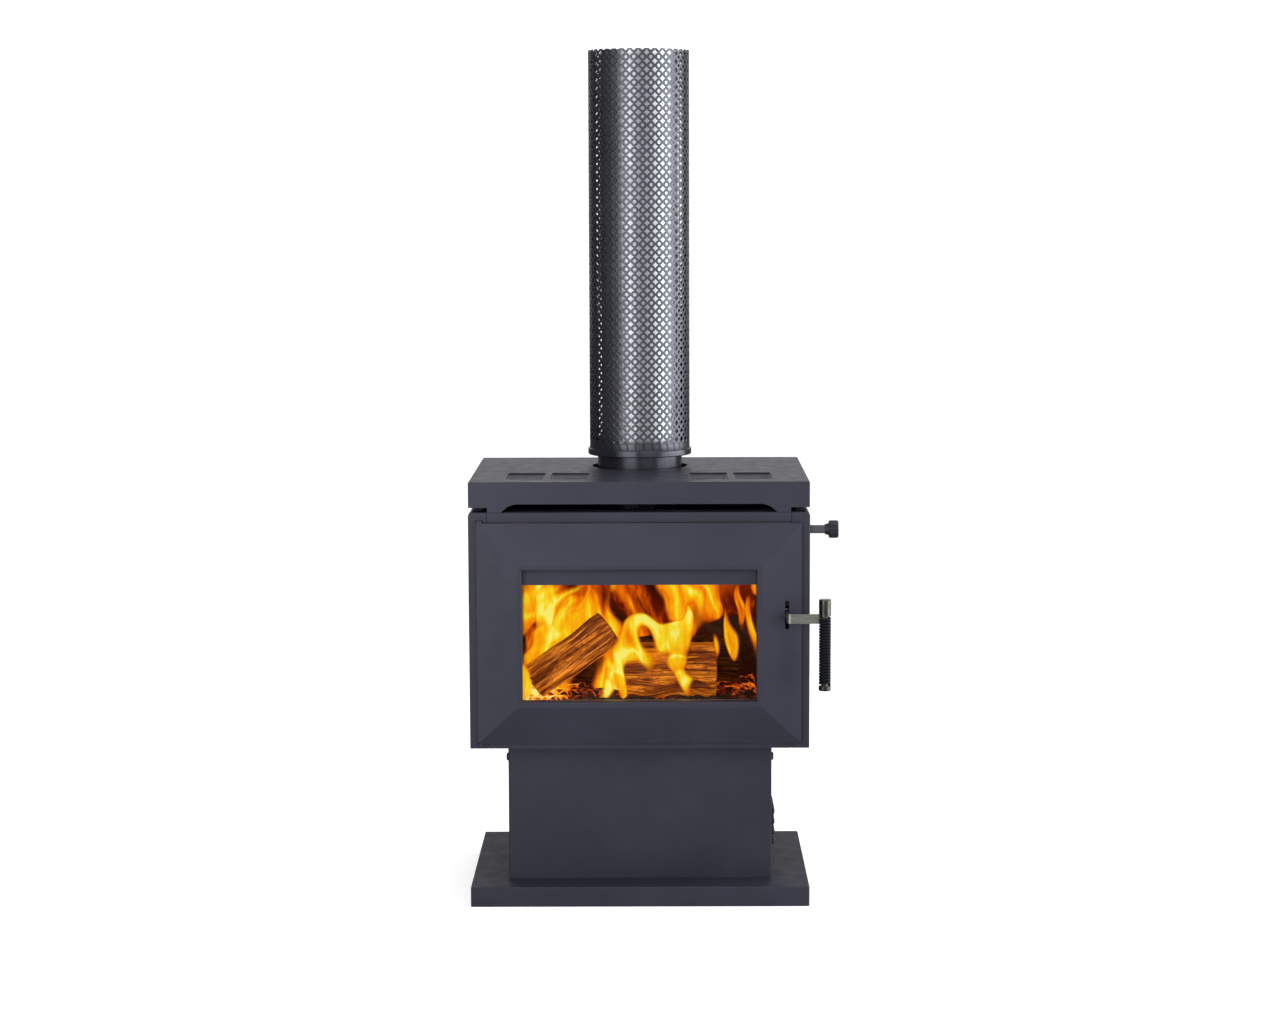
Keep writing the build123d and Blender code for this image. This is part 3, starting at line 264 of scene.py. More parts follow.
firebox = castIron()
firebrick = sootedBrick()
windowGlass = clearGlass()
sealRope = knittedRope()
slotMaterials = {
    "body_paint": bodyPaint, "lid_paint": lidPaint, "firebox_steel": firebox,
    "plated_steel": platedSteel, "shroud_steel": shroudSteel, "flue_steel": flueSteel,
    "arm_steel": armSteel, "polished_steel": polishedSteel, "coil_black": coilBlack,
    "knob_black": knobBlack, "rod_paint": rodPaint, "firebrick": firebrick,
    "window_glass": windowGlass, "seal_rope": sealRope, "board": cementBoard(),
    "grommet": blackRubber(), "fan_metal": fanMetal, "motor_paint": motorPaint,
    "split_wood": firebrick, "embers": firebrick,
}
# the collar and the ring on it are baked glossier, and the rails under the lid are painted
ownFinish = {"flue_spigot": collarPaint, "shroud_ring": collarPaint, "lid_rails": bodyPaint}
for entry in frame["record"]["subparts"]:
    node = nodes[entry["node"]]
    finish = slotMaterials[entry["material_slot"]]
    node.data.materials.clear()
    node.data.materials.append(ownFinish.get(entry["node"], finish))
print("materials on", len(nodes), "nodes")


# perforated casing

shroud = {"columns": 38, "rows": 47, "plainBottom": 0.0125, "diamond": 0.0062,
          "pinch": 0.86, "roundHole": 0.0037, "wall": 0.0012, "plainColumns": (10, 11, 12)}


def perforatedCasing():
    # One cell of the pattern is a square with a diamond hole in its middle and a quarter of a
    # round hole at each corner. Its twelve outer and twelve inner points make twelve quads;
    # every cell is that outline shifted by whole pitches, then rolled round the cylinder.
    # In the plain strips at the sides the diamond shrinks to its centre and each quarter to
    # its corner, as do the quarters along the bottom row.
    low, high = corners("flue_shroud")
    radius = (high[0] - low[0]) / 2
    centreX, centreY = (low[0] + high[0]) / 2, (low[1] + high[1]) / 2
    columns, rows = shroud["columns"], shroud["rows"]
    across = 2 * pi * radius / columns
    up = (high[2] - low[2] - shroud["plainBottom"]) / rows
    halfA, halfU, hole = across / 2, up / 2, shroud["roundHole"]
    side = hole * np.sin(pi / 4)
    quarter = np.array([[halfA - hole, halfU], [halfA - side, halfU - side],
                        [halfA, halfU - hole]])
    outer = np.concatenate([quarter, quarter[::-1] * [1, -1], -quarter, quarter[::-1] * [-1, 1]])
    turns = np.arange(12) / 12 * 2 * pi + pi / 3
    tip = shroud["diamond"]
    # superellipse with an exponent under one: a square on its point with hollow sides
    power = 2 / shroud["pinch"]
    inner = tip * np.stack([np.sign(np.cos(turns)) * np.abs(np.cos(turns)) ** power,
                            np.sign(np.sin(turns)) * np.abs(np.sin(turns)) ** power], axis=-1)
    outer = outer[np.argsort(-np.arctan2(outer[:, 1], outer[:, 0]))]
    inner = inner[np.argsort(-np.arctan2(inner[:, 1], inner[:, 0]))]
    cell = np.concatenate([outer, inner])
    corner = np.concatenate([np.sign(outer) * [halfA, halfU], np.zeros((12, 2))])
    column = np.arange(columns)
    plain = np.isin(np.minimum(column, columns - column), shroud["plainColumns"])
    closeLeft, closeRight = plain | np.roll(plain, 1), plain | np.roll(plain, -1)
    onRight, onInner = corner[:, 0] > 0, np.arange(24) > 11
    closed = np.where(onRight, closeRight[:, None], closeLeft[:, None])
    closed = np.where(onInner, plain[:, None], closed)[:, None, :]
    bottomRow = (np.arange(rows) == 0)[None, :, None] & (corner[:, 1] < 0) & ~onInner
    cells = np.where((closed | bottomRow)[..., None], corner, cell).reshape(-1, 24, 2)
    k = np.arange(12)
    cellFaces = np.stack([k, (k + 1) % 12, (k + 1) % 12 + 12, k + 12], axis=-1)
    i, j = np.meshgrid(np.arange(columns), np.arange(rows), indexing="ij")
    shift = np.stack([i * across, (j + 0.5) * up], axis=-1).reshape(-1, 1, 2)
    flat = (cells + shift).reshape(-1, 2)
    faces = (cellFaces + np.arange(columns * rows).reshape(-1, 1, 1) * 24).reshape(-1, 4)
    # plain band under the pattern: two rows of points
    step = np.arange(columns * 4)
    band = np.stack([np.tile(step, 2) * across / 4,
                     np.repeat([-shroud["plainBottom"], 0.0], len(step))], axis=-1)
    angle = np.concatenate([flat[:, 0], band[:, 0]]) / radius
    height = np.concatenate([flat[:, 1], band[:, 1]]) + low[2] + shroud["plainBottom"]
    points = np.stack([centreX + radius * np.sin(angle), centreY - radius * np.cos(angle),
                       height], axis=-1)
    bandFaces = gridFaces(2, len(step), closeCols=True)[:, ::-1] + len(flat)
    piece = makePiece("perforated_casing", points, np.concatenate([faces, bandFaces]),
                      shroudSteel)
    weldPoints(piece, 0.00005)
    wall = piece.modifiers.new("wall", "SOLIDIFY")
    wall.thickness = shroud["wall"]
    wall.offset = -1
    piece.modifiers.new("normals", "WEIGHTED_NORMAL")
    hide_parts("flue_shroud")


perforatedCasing()
print("perforated casing built")


# coil grip

coil = {"wire": 0.0026, "gap": 1.1, "around": 14, "perTurn": 32}


def coilGrip():
    # a wire of round section carried along a helix: the centre line turns about the bar while
    # it climbs one pitch a turn, and the section lies in the plane across it
    low, high = corners("handle_coil")
    centre = (low + high) / 2
    wire = coil["wire"]
    turnRadius = (high[0] - low[0]) / 2 - wire
    pitch = 2 * wire * coil["gap"]
    turns = (high[2] - low[2] - 2 * wire) / pitch
    t = np.linspace(0, turns * 2 * pi, int(turns * coil["perTurn"]))[:, None]
    s = np.linspace(0, 2 * pi, coil["around"], endpoint=False)[None, :]
    out = turnRadius + wire * np.cos(s)
    points = np.stack([centre[0] + out * np.cos(t), centre[1] + out * np.sin(t),
                       low[2] + wire + t / (2 * pi) * pitch + wire * np.sin(s)], axis=-1)
    rows = points.shape[0]
    faces = gridFaces(rows, coil["around"], closeCols=True)
    ring = np.arange(coil["around"])
    ends = [ring[::-1], (rows - 1) * coil["around"] + ring]
    piece = makePiece("coil_grip", points, list(faces) + ends, coilBlack, "latch")
    weldPoints(piece, 0.000001)
    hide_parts("handle_coil")


coilGrip()
print("coil grip wound")


# rope round the door

rope = {"stitches": 150, "around": 20, "perStitch": 7, "knit": 0.07, "corner": 0.02,
        "halfWidth": 0.0058}


def ropeSeal():
    # The centre line is a rectangle with round corners, walked at even speed. The section is a
    # flattened circle, and the knit is a product of two opposite spirals that dents its radius.
    low, high = corners("rope_seal")
    wide, deep = rope["halfWidth"], (high[1] - low[1]) / 2
    halfX, halfZ = (high[0] - low[0]) / 2 - wide, (high[2] - low[2]) / 2 - wide
    centre = (low + high) / 2
    corner = rope["corner"]
    count = rope["stitches"] * rope["perStitch"]
    straightX, straightZ, bend = 2 * (halfX - corner), 2 * (halfZ - corner), corner * pi / 2
    legs = np.array([straightX, bend, straightZ, bend] * 2)
    marks = np.concatenate([[0], np.cumsum(legs)])
    s = np.linspace(0, marks[-1], count, endpoint=False)
    leg = np.searchsorted(marks, s, side="right") - 1
    along = s - marks[leg]
    turn = (leg // 2) * pi / 2 + np.where(leg % 2 == 1, along / corner, 0.0)
    # where each leg's bend turns about, or where its straight run starts
    cornerX = np.array([-1, 1, 1, 1, 1, -1, -1, -1])[leg] * (halfX - corner)
    cornerZ = np.array([-1, -1, -1, 1, 1, 1, 1, -1])[leg] * (halfZ - corner)
    run = np.where(leg % 2 == 0, along, 0.0)
    outX, outZ = np.sin(turn), -np.cos(turn)
    pathX = cornerX + corner * outX + run * np.cos(turn)
    pathZ = cornerZ + corner * outZ + run * np.sin(turn)
    theta = np.linspace(0, 2 * pi, rope["around"], endpoint=False)
    phase = 2 * pi * rope["stitches"] * s / marks[-1]
    half = phase[:, None] / 2
    dent = rope["knit"] * (np.cos(half + 3 * theta) * np.cos(half - 3 * theta))
    swell = 1 - rope["knit"] + dent
    sideways = wide * swell * np.cos(theta)
    points = np.stack([centre[0] + pathX[:, None] + sideways * outX[:, None],
                       centre[1] + deep * swell * np.sin(theta),
                       centre[2] + pathZ[:, None] + sideways * outZ[:, None]], axis=-1)
    faces = gridFaces(count, rope["around"], True, True)
    piece = makePiece("knitted_rope", points, faces, sealRope, "door")
    weldPoints(piece, 0.000001)
    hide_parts("rope_seal")


ropeSeal()
print("door rope laid")


# fire

def waves(seed, count, shortest, longest, lean=1.0):
    # a smooth random field: sines of random direction, length and phase, longer ones stronger;
    # lean stretches it upwards
    draw = np.random.default_rng(seed)
    length = draw.uniform(shortest, longest, count)
    angle = draw.uniform(0, 2 * pi, count)
    phase = draw.uniform(0, 2 * pi, count)
    weight = length / length.sum()

    def field(x, z):
        total = np.zeros(np.broadcast(x, z).shape)
        for size, turn, start, share in zip(length, angle, phase, weight):
            along = x * np.cos(turn) + z * np.sin(turn) / lean
            total += share * np.sin(2 * pi * along / size + start)
        return total * np.sqrt(count) * 0.9
    return field


def pointValues(mesh, name, values):
    layer = mesh.attributes.new(name, "FLOAT", "POINT")
    layer.data.foreach_set("value", np.asarray(values, dtype=np.float32).ravel())


def gridUv(mesh, u, v):
    # texture places: one pair for each grid point, copied to the corners that use it
    index = np.empty(len(mesh.loops), dtype=np.int32)
    mesh.loops.foreach_get("vertex_index", index)
    pairs = np.stack(np.broadcast_arrays(u, v), axis=-1).reshape(-1, 2)[index]
    mesh.uv_layers.new(name="surface").data.foreach_set("uv", pairs.astype(np.float32).ravel())


def attributeNode(tree, name):
    node = tree.nodes.new("ShaderNodeAttribute")
    node.attribute_name = name
    return node.outputs["Fac"]


def mixValues(tree, operation, first, second):
    node = tree.nodes.new("ShaderNodeMath")
    node.operation = operation
    for socket, value in zip(node.inputs, (first, second)):
        if isinstance(value, (int, float)):
            socket.default_value = value
        else:
            tree.links.new(value, socket)
    return node.outputs[0]


flameTones = ((0.0, (0.03, 0.001, 0.0)), (0.22, (0.13, 0.006, 0.0)), (0.42, (0.58, 0.075, 0.0)),
              (0.62, (0.95, 0.22, 0.001)), (0.8, (1.0, 0.48, 0.004)), (0.92, (1.0, 0.74, 0.02)),
              (1.0, (1.0, 0.90, 0.16)))


def flameLook():
    # heat and cover come with the surface; fine streaks run up it
    material, tree, shader = newMaterial("flame", Roughness=1.0, Specular_IOR_Level=0.0,
                                         Base_Color=(0, 0, 0, 1))
    streaks = noise(tree, place(tree, (1, 1, 0.3)), 60.0, 3, 0.5, 1.2)
    heat = mixValues(tree, "ADD", attributeNode(tree, "glowLevel"),
                     spread(tree, streaks, -0.10, 0.10, 0.3, 0.7))
    tree.links.new(ramp(tree, heat, *flameTones), shader.inputs["Emission Color"])
    shader.inputs["Emission Strength"].default_value = 1.0
    tree.links.new(attributeNode(tree, "cover"), shader.inputs["Alpha"])
    return material


flame = flameLook()
firePlace = {"halfWidth": 0.232, "bottom": 0.388, "top": 0.622, "sideFade": 0.006,
             "topFade": 0.02}


def flameCurtain(name, seed, depth, shape, accents):
    # A field of warped waves, stretched upwards, is cut at a level: flame stands where it is
    # above. Its rim is thin and red, further in it is yellow with paler folds, and the sheet
    # bulges forward with the field, so tongues and the gaps between them have real shape.
    cols, rows = shape["cols"], shape["rows"]
    x = np.linspace(-firePlace["halfWidth"], firePlace["halfWidth"], cols)[:, None]
    z = np.linspace(firePlace["bottom"], firePlace["top"], rows)[None, :]
    x, z = np.broadcast_arrays(x, z)
    rise = (z - firePlace["bottom"]) / (firePlace["top"] - firePlace["bottom"])
    sway, lift = waves(seed, 7, 0.10, 0.26, 1.6), waves(seed + 1, 6, 0.09, 0.2, 1.3)
    curl = waves(seed + 2, 9, 0.045, 0.09, 1.5)
    wx = x + (0.022 + 0.03 * rise) * sway(x, z) + 0.010 * curl(x, z)
    wz = z + 0.03 * lift(x, z)
    body = waves(seed + 3, 14, shape["finest"], shape["coarsest"], shape["stretch"])(wx, wz)
    for atX, atZ, size, amount in accents:
        body = body + amount * np.exp(-((x - atX) ** 2 + ((z - atZ) / 1.3) ** 2) / size ** 2)
    body = body - shape["thin"] * rise
    inside = (body - shape["cut"]) / shape["soft"]
    deep = 1 - np.exp(-np.clip(inside, 0, 6) / shape["rim"])
    folds = waves(seed + 5, 12, 0.03, 0.075, 3.2)(wx, wz)
    veil = waves(seed + 7, 12, 0.02, 0.055, 3.6)(wx, wz)
    fold = np.exp(-(folds / 0.22) ** 2)
    heat = shape["warm"] + shape["body"] * deep + 0.20 * fold * deep + 0.13 * veil * deep
    heat = heat - 0.16 * rise * shape["cool"] - 0.13 * np.clip((x - 0.01) / 0.15, 0, 1)
    cover = np.clip(inside / shape["fade"], 0, 1) ** 1.3 * shape["cover"]
    cover = cover * np.clip((firePlace["halfWidth"] - np.abs(x)) / firePlace["sideFade"], 0, 1)
    cover = cover * np.clip((firePlace["top"] - z) / firePlace["topFade"], 0, 1)
    y = depth - shape["bulge"] * np.tanh(np.clip(inside, 0, 4) / 2) + 0.004 * folds
    points = np.stack([x, y, z], axis=-1)
    faces = gridFaces(cols, rows)
    burning = (cover.reshape(-1)[faces] > 0.002).any(axis=1)
    faces = faces[burning]
    used, compact = np.unique(faces, return_inverse=True)
    piece = makePiece(name, points.reshape(-1, 3)[used], compact.reshape(-1, 4), flame)
    pointValues(piece.data, "glowLevel", heat.reshape(-1)[used])
    pointValues(piece.data, "cover", cover.reshape(-1)[used])


flames = {
    "back": {"cols": 170, "rows": 90, "finest": 0.06, "coarsest": 0.16, "stretch": 2.0,
             "cut": -0.7, "soft": 0.5, "rim": 2.2, "fade": 1.0, "thin": 0.0, "warm": 0.16,
             "body": 0.44, "cool": 0.5, "bulge": 0.03, "cover": 1.0},
    "middle": {"cols": 260, "rows": 150, "finest": 0.05, "coarsest": 0.13, "stretch": 2.6,
               "cut": -0.05, "soft": 0.25, "rim": 1.5, "fade": 1.5, "thin": 0.1, "warm": 0.30,
               "body": 0.50, "cool": 0.2, "bulge": 0.02, "cover": 0.97},
    "front": {"cols": 260, "rows": 150, "finest": 0.035, "coarsest": 0.085, "stretch": 3.2,
              "cut": 0.40, "soft": 0.22, "rim": 1.1, "fade": 1.7, "thin": 0.1, "warm": 0.36,
              "body": 0.52, "cool": 0.0, "bulge": 0.012, "cover": 0.92},
}
# accents: place across, height, size and strength of a fuller or thinner spot
flameCurtain("flames_back", 11, 0.30, flames["back"],
             [(0.20, 0.47, 0.06, -1.2), (0.08, 0.60, 0.05, 0.6)])
flameCurtain("flames_middle", 23, 0.185, flames["middle"],
             [(-0.16, 0.56, 0.08, 0.7), (-0.005, 0.61, 0.025, -1.4), (0.06, 0.57, 0.045, 1.3),
              (0.13, 0.50, 0.03, -1.0), (0.2, 0.46, 0.06, -1.6), (-0.05, 0.51, 0.05, 0.8),
              (-0.17, 0.49, 0.04, -1.1)])
flameCurtain("flames_front", 37, 0.066, flames["front"],
             [(-0.12, 0.45, 0.055, -1.2), (0.13, 0.41, 0.04, -1.2), (0.01, 0.45, 0.03, 0.9),
              (0.17, 0.50, 0.028, 1.5), (0.075, 0.455, 0.02, 1.7), (-0.19, 0.58, 0.04, 0.8),
              (0.07, 0.54, 0.03, 1.0), (-0.05, 0.425, 0.025, 1.3), (-0.10, 0.535, 0.02, 0.9)])
print("flames lit")


# logs

def logLook(name, glow, tone=1.0):
    # split wood burning through: long checks follow the grain, cross checks break the char. The
    # orange emission on the faces between the checks is partly the glow of burning wood and
    # partly painted firelight from the flames.
    material, tree, shader = newMaterial(name, Roughness=0.9, Specular_IOR_Level=0.2)
    where = tree.nodes.new("ShaderNodeUVMap")
    where.uv_map = "surface"
    stretchAlong = tree.nodes.new("ShaderNodeMapping")
    stretchAlong.inputs["Scale"].default_value = (1.0, 0.07, 1.0)
    tree.links.new(where.outputs["UV"], stretchAlong.inputs["Vector"])
    grain = noise(tree, stretchAlong.outputs["Vector"], 150.0, 6, 0.7, 0.5)
    crossMap = tree.nodes.new("ShaderNodeMapping")
    crossMap.inputs["Scale"].default_value = (1.0, 0.22, 1.0)
    tree.links.new(where.outputs["UV"], crossMap.inputs["Vector"])
    checks = tree.nodes.new("ShaderNodeTexVoronoi")
    checks.feature = "DISTANCE_TO_EDGE"
    checks.inputs["Scale"].default_value = 130.0
    tree.links.new(crossMap.outputs["Vector"], checks.inputs["Vector"])
    lines = spread(tree, checks.outputs["Distance"], 0.62, 1.0, 0.0, 0.07)
    char = mixValues(tree, "MULTIPLY", spread(tree, grain, 0.0, 1.0, 0.37, 0.53), lines)
    burnt = noise(tree, crossMap.outputs["Vector"], 34.0, 5, 0.65, 0.6)
    char = mixValues(tree, "MULTIPLY", char, spread(tree, burnt, 0.28, 1.0, 0.38, 0.54))
    tree.links.new(ramp(tree, char, (0.0, (0.012 * tone, 0.005 * tone, 0.003 * tone)),
                        (0.45, (0.14 * tone, 0.032 * tone, 0.003 * tone)),
                        (1.0, (0.42 * tone, 0.14 * tone, 0.013 * tone))),
                   shader.inputs["Base Color"])
    # painted firelight: the emission is brightest on the faces between the checks, as if the
    # flames lit them, on top of the wood's own burning glow
    tree.links.new(ramp(tree, char, (0.0, (0.02, 0.001, 0.0)), (0.4, (0.24, 0.035, 0.001)),
                        (1.0, (0.85, 0.24, 0.012))), shader.inputs["Emission Color"])
    shader.inputs["Emission Strength"].default_value = glow
    bump(tree, shader, char, 0.8, 0.002)
    return material


# the leaning and front logs carry the painted firelight glow
firelitLogFinish = logLook("burningLog", 0.62)
# the rear log: the same look with its colour darkened to about a fifth and almost none of the
# painted firelight glow
darkLogFinish = logLook("dimLog", 0.05, 0.22)


logMesh = {"along": 120, "around": 72, "slack": 0.002}


def burningLog(name, node, start, end, section, seed, material):
    # A section of flats, rounded bark and one deep split is carried from start to end; its
    # radius is roughened by waves that are long down the grain. Rings shrink to close each end.
    # Start and end are shares of the node's box.
    along, around = logMesh["along"], logMesh["around"]
    low, high = corners(node)
    start, end = low + np.array(start) * (high - low), low + np.array(end) * (high - low)
    axis = (end - start) / np.linalg.norm(end - start)
    up = np.array([0, 0, 1.0]) - axis * axis[2]
    up /= np.linalg.norm(up)
    side = np.cross(axis, up)
    t = np.linspace(0, 1, along)[:, None]
    theta = np.linspace(0, 2 * pi, around, endpoint=False)[None, :]
    flat = pi / section["sides"]
    flats = np.cos(flat) / np.cos((theta + section["turn"]) % (2 * flat) - flat)
    split = np.exp(-(((theta - section["split"] + pi) % (2 * pi) - pi) / 0.16) ** 2)
    span = np.linalg.norm(end - start)
    rough = waves(seed, 16, 0.010, 0.05, 6.0)(theta * section["radius"], t * span)
    knots = waves(seed + 1, 8, 0.03, 0.09, 1.5)(theta * section["radius"], t * span)
    swell = 0.78 + 0.22 * flats + 0.07 * rough + 0.06 * knots - section["depth"] * split
    radius = section["radius"] * swell
    closing = np.clip(np.minimum(t, 1 - t) * (along - 1) / 3, 0, 1)
    radius = radius * np.sqrt(1 - (1 - closing) ** 2)
    core = start + axis * (t * span)[..., None]
    points = (core + side * (radius * np.cos(theta) * section["wide"])[..., None]
              + up * (radius * np.sin(theta))[..., None])
    points = np.clip(points, low - logMesh["slack"], high + logMesh["slack"])
    faces = gridFaces(along, around, closeCols=True)
    piece = makePiece(name, points, faces, material)
    gridUv(piece.data, theta * section["radius"], t * span)
    weldPoints(piece, 0.00002)
    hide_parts(node)


logs = {
    "leaning": {"radius": 0.036, "wide": 1.0, "sides": 4, "turn": 0.0, "split": 0.25,
                "depth": 0.5},
    "front": {"radius": 0.058, "wide": 0.86, "sides": 4, "turn": pi / 4, "split": 0.6,
              "depth": 0.08},
    "rear": {"radius": 0.05, "wide": 1.05, "sides": 5, "turn": 0.2, "split": 2.6,
             "depth": 0.25},
}
burningLog("burning_leaning_log", "leaning_log", (0.12, 0.40, 0.15), (0.88, 0.62, 0.74),
           logs["leaning"], 51, firelitLogFinish)
burningLog("burning_front_log", "front_log", (0.0, 0.5, 0.5), (1.0, 0.5, 0.5),
           logs["front"], 61, firelitLogFinish)
burningLog("burning_rear_log", "rear_log", (0.0, 0.5, 0.5), (1.0, 0.5, 0.5),
           logs["rear"], 71, darkLogFinish)
print("logs laid")


# embers

coals = {"count": 420, "small": 0.009, "large": 0.019, "cols": 260, "rows": 170,
         "lowest": 0.016, "rim": 0.006, "seed": 5}


def coalLook():
    material, tree, shader = newMaterial("glowingCoals", Roughness=0.95, Specular_IOR_Level=0.1)
    where = place(tree)
    cracks = tree.nodes.new("ShaderNodeTexVoronoi")
    cracks.feature = "DISTANCE_TO_EDGE"
    cracks.inputs["Scale"].default_value = 55.0
    tree.links.new(where, cracks.inputs["Vector"])
    glow = mixValues(tree, "SUBTRACT", attributeNode(tree, "glowLevel"),
                     spread(tree, cracks.outputs["Distance"], 0.0, 0.55, 0.0, 0.3))
    cloud = noise(tree, where, 28.0, 4)
    glow = mixValues(tree, "ADD", glow, spread(tree, cloud, -0.25, 0.2, 0.3, 0.7))
    tree.links.new(ramp(tree, glow, (0.15, (0.010, 0.001, 0.0)), (0.35, (0.16, 0.010, 0.001)),
                        (0.55, (0.85, 0.14, 0.004)), (0.75, (1.0, 0.42, 0.015)),
                        (0.95, (1.0, 0.85, 0.22))), shader.inputs["Emission Color"])
    shader.inputs["Emission Strength"].default_value = 1.0
    tree.links.new(ramp(tree, cloud, (0.3, (0.006, 0.005, 0.005)), (0.7, (0.05, 0.04, 0.036))),
                   shader.inputs["Base Color"])
    bump(tree, shader, cracks.outputs["Distance"], 0.7, 0.002)
    return material


def coalBed():
    # the height at a point is the highest of many flat-topped domes of random size and place;
    # it falls to nothing at the rim, and one flat face closes the underside
    draw = np.random.default_rng(coals["seed"])
    low, high = corners("ember_bed")
    x = np.linspace(low[0], high[0], coals["cols"])[:, None]
    y = np.linspace(low[1], high[1], coals["rows"])[None, :]
    x, y = np.broadcast_arrays(x, y)
    height = np.full(x.shape, coals["lowest"])
    for i in range(coals["count"]):
        size = draw.uniform(coals["small"], coals["large"])
        atX = draw.uniform(low[0] + size, high[0] - size)
        atY = draw.uniform(low[1] + size, high[1] - size)
        turn, squash = draw.uniform(0, pi), draw.uniform(0.6, 1.0)
        dx, dy = x - atX, y - atY
        a = (dx * np.cos(turn) + dy * np.sin(turn)) / size
        b = (dy * np.cos(turn) - dx * np.sin(turn)) / (size * squash)
        dome = np.clip(1 - np.abs(a) ** 2.6 - np.abs(b) ** 2.6, 0, 1) ** 0.5
        front = np.clip((low[1] + 0.065 - atY) / 0.05, 0, 1)
        top = coals["lowest"] + dome * (size * 0.75 + 0.010 * front)
        height = np.maximum(height, np.where(dome > 0, top, 0))
    rim = np.minimum(np.minimum(x - low[0], high[0] - x), np.minimum(y - low[1], high[1] - y))
    height = height * np.clip(rim / coals["rim"], 0, 1) ** 0.5
    points = np.stack([x, y, low[2] + height], axis=-1)
    warmth = waves(9, 10, 0.06, 0.2)(x, y)
    left = np.clip((-0.11 - x) / 0.10, 0, 1)
    heat = 0.24 + 0.10 * warmth + 0.90 * left + 0.25 * np.clip((y - 0.08) / 0.08, 0, 1)
    cols, rows = x.shape
    topFaces = gridFaces(cols, rows)
    rimIndex = np.concatenate([np.arange(cols) * rows, (cols - 1) * rows + np.arange(rows),
                               np.arange(cols)[::-1] * rows + rows - 1, np.arange(rows)[::-1]])
    piece = makePiece("coal_bed", points, list(topFaces) + [rimIndex[::-1]], coalLook())
    pointValues(piece.data, "glowLevel", heat)
    weldPoints(piece, 0.000001)
    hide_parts("ember_bed")


coalBed()
print("coals raked")


# stage: floor, lights and camera

studio = {"floorTone": 0.9, "floorGlow": 0.30, "ambient": 0.45, "mirrored": 0.10,
          "sweepRadius": 2.0, "sweepAt": 4.0}
# each soft box: compass angle from the front and distance from the flue, height, width, tall,
# power and how much of it falls on matt surfaces
softBoxes = {
    "leftBank": {"angle": -26, "away": 3.2, "height": 1.45, "wide": 2.0, "tall": 2.8,
                 "power": 60, "matt": 1.0, "tone": (0.98, 0.99, 1.0)},
    "rightBank": {"angle": 82, "away": 3.0, "height": 1.3, "wide": 3.8, "tall": 2.8,
                  "power": 160, "matt": 0.2, "tone": (0.95, 0.98, 1.0)},
    "frontFill": {"angle": 22, "away": 3.4, "height": 1.3, "wide": 2.4, "tall": 2.4,
                  "power": 18, "matt": 0.3, "tone": (0.97, 0.99, 1.0)},
    "overhead": {"angle": 0, "away": 0.2, "height": 4.0, "wide": 3.0, "tall": 2.4,
                 "power": 60, "matt": 1.0, "tone": (1.0, 1.0, 1.0)},
    "rearBank": {"angle": 180, "away": 2.6, "height": 1.6, "wide": 3.6, "tall": 1.4,
                 "power": 12, "matt": 0.6, "tone": (1.0, 1.0, 1.0)},
}


def paleSweep():
    # floor that rises behind into a wall: straight, a quarter circle, straight
    radius, at = studio["sweepRadius"], studio["sweepAt"]
    bend = np.linspace(0, pi / 2, 24)
    y = np.concatenate([[-9.0], at + radius * np.sin(bend), [at + radius]])
    z = np.concatenate([[0.0], radius * (1 - np.cos(bend)), [9.0]])
    x = np.array([-9.0, 9.0])
    points = np.stack(np.broadcast_arrays(x[:, None], y[None, :], z[None, :]), axis=-1)
    mesh = bpy.data.meshes.new("sweep")
    mesh.from_pydata(points.reshape(-1, 3).tolist(), [], gridFaces(2, len(y)).tolist())
    mesh.polygons.foreach_set("use_smooth", [True] * len(mesh.polygons))
    tone = studio["floorTone"]
    material, tree, shader = newMaterial("paleFloor", Roughness=0.9, Specular_IOR_Level=0.1,
                                         Base_Color=(tone, tone, tone, 1),
                                         Emission_Color=(1, 1, 1, 1),
                                         Emission_Strength=studio["floorGlow"])
    mesh.materials.append(material)
    sweep = bpy.data.objects.new("sweep", mesh)
    bpy.context.scene.collection.objects.link(sweep)
    sweep.visible_glossy = False


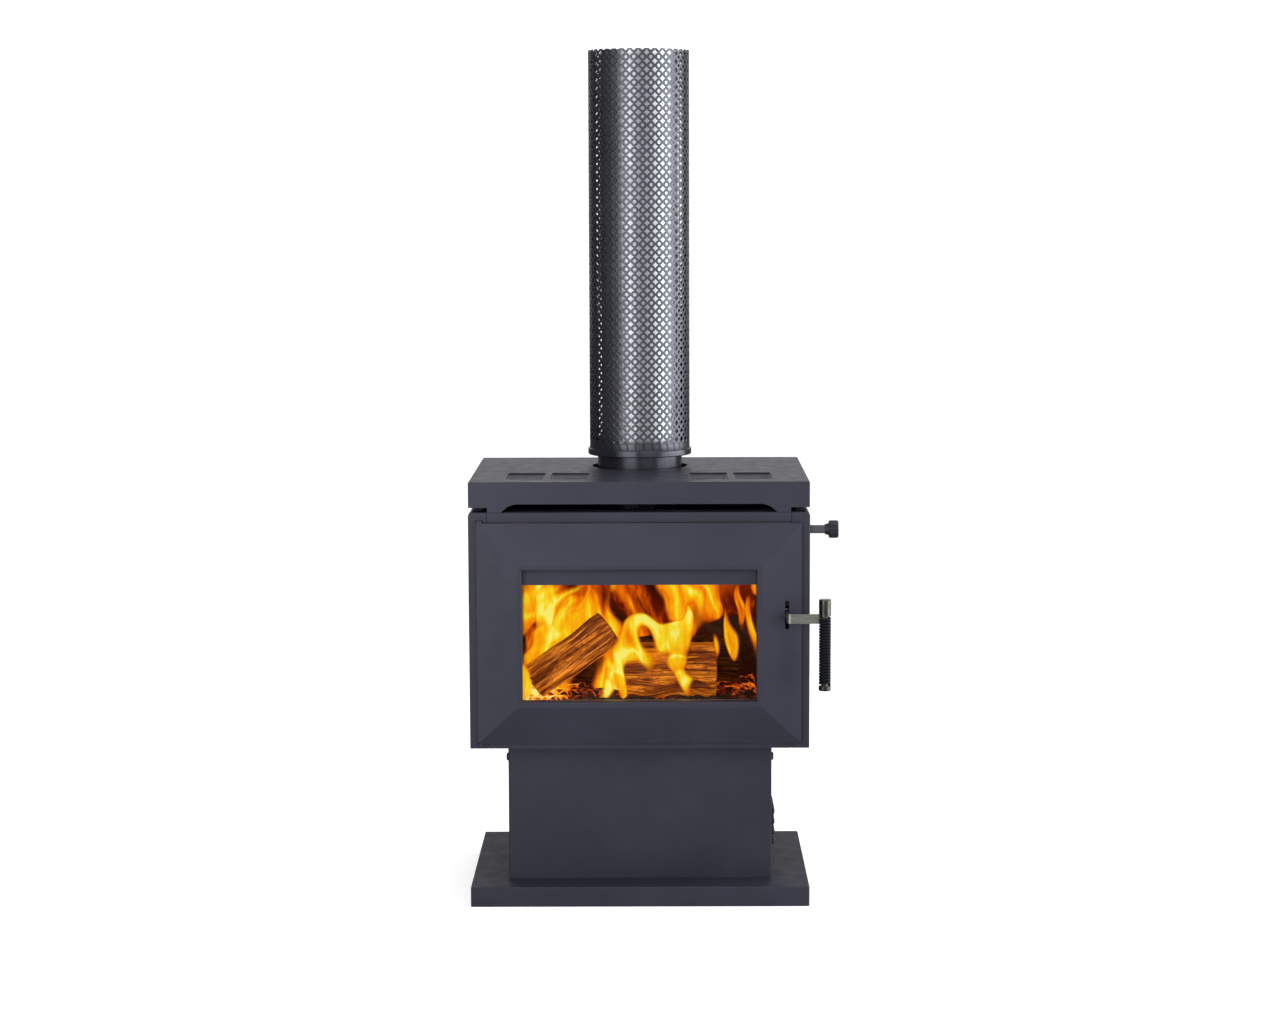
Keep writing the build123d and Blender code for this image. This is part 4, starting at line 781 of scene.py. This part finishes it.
def softBox(name, box):
    # stands at an angle and a distance from the flue's axis and faces it
    low, high = corners("flue_pipe")
    middle = (low + high) / 2
    turn = radians(box["angle"])
    data = bpy.data.lights.new(name, "AREA")
    data.shape = "RECTANGLE"
    data.size, data.size_y = box["wide"], box["tall"]
    data.energy = box["power"]
    data.diffuse_factor = box["matt"]
    data.color = box["tone"]
    light = bpy.data.objects.new(name, data)
    light.location = (middle[0] + box["away"] * np.sin(turn),
                      middle[1] - box["away"] * np.cos(turn), box["height"])
    tilt = 0 if box["away"] < 1 else pi / 2
    light.rotation_euler = (tilt, 0, turn)
    light.visible_camera = False
    bpy.context.scene.collection.objects.link(light)


def studioLight():
    # white to the eye, soft on matt surfaces and dim in mirrors
    world = bpy.data.worlds.new("studio")
    world.use_nodes = True
    tree = world.node_tree
    path = tree.nodes.new("ShaderNodeLightPath")
    level = mixValues(tree, "MULTIPLY", path.outputs["Is Glossy Ray"],
                      studio["mirrored"] - studio["ambient"])
    level = mixValues(tree, "ADD", level, studio["ambient"])
    seen = mixValues(tree, "MULTIPLY", path.outputs["Is Camera Ray"], 1.0 - studio["ambient"])
    backdrop = tree.nodes["Background"]
    tree.links.new(mixValues(tree, "ADD", level, seen), backdrop.inputs["Strength"])
    backdrop.inputs["Color"].default_value = (1, 1, 1, 1)
    bpy.context.scene.world = world
    for name, box in softBoxes.items():
        softBox(name, box)


frontCamera = {"lens": 78.34, "shift": -0.0109, "at": (0.0342, -5.254, 1.3855),
               "turn": (83.216, 0.159, 0.044)}


def setCamera():
    data = bpy.data.cameras.new("camera")
    data.lens = frontCamera["lens"]
    data.sensor_width = 36
    data.shift_x = frontCamera["shift"]
    camera = bpy.data.objects.new("camera", data)
    camera.location = frontCamera["at"]
    camera.rotation_euler = tuple(radians(v) for v in frontCamera["turn"])
    bpy.context.scene.collection.objects.link(camera)
    bpy.context.scene.camera = camera


paleSweep()
studioLight()
setCamera()
bpy.context.scene.view_settings.view_transform = "Standard"
print("stage set")
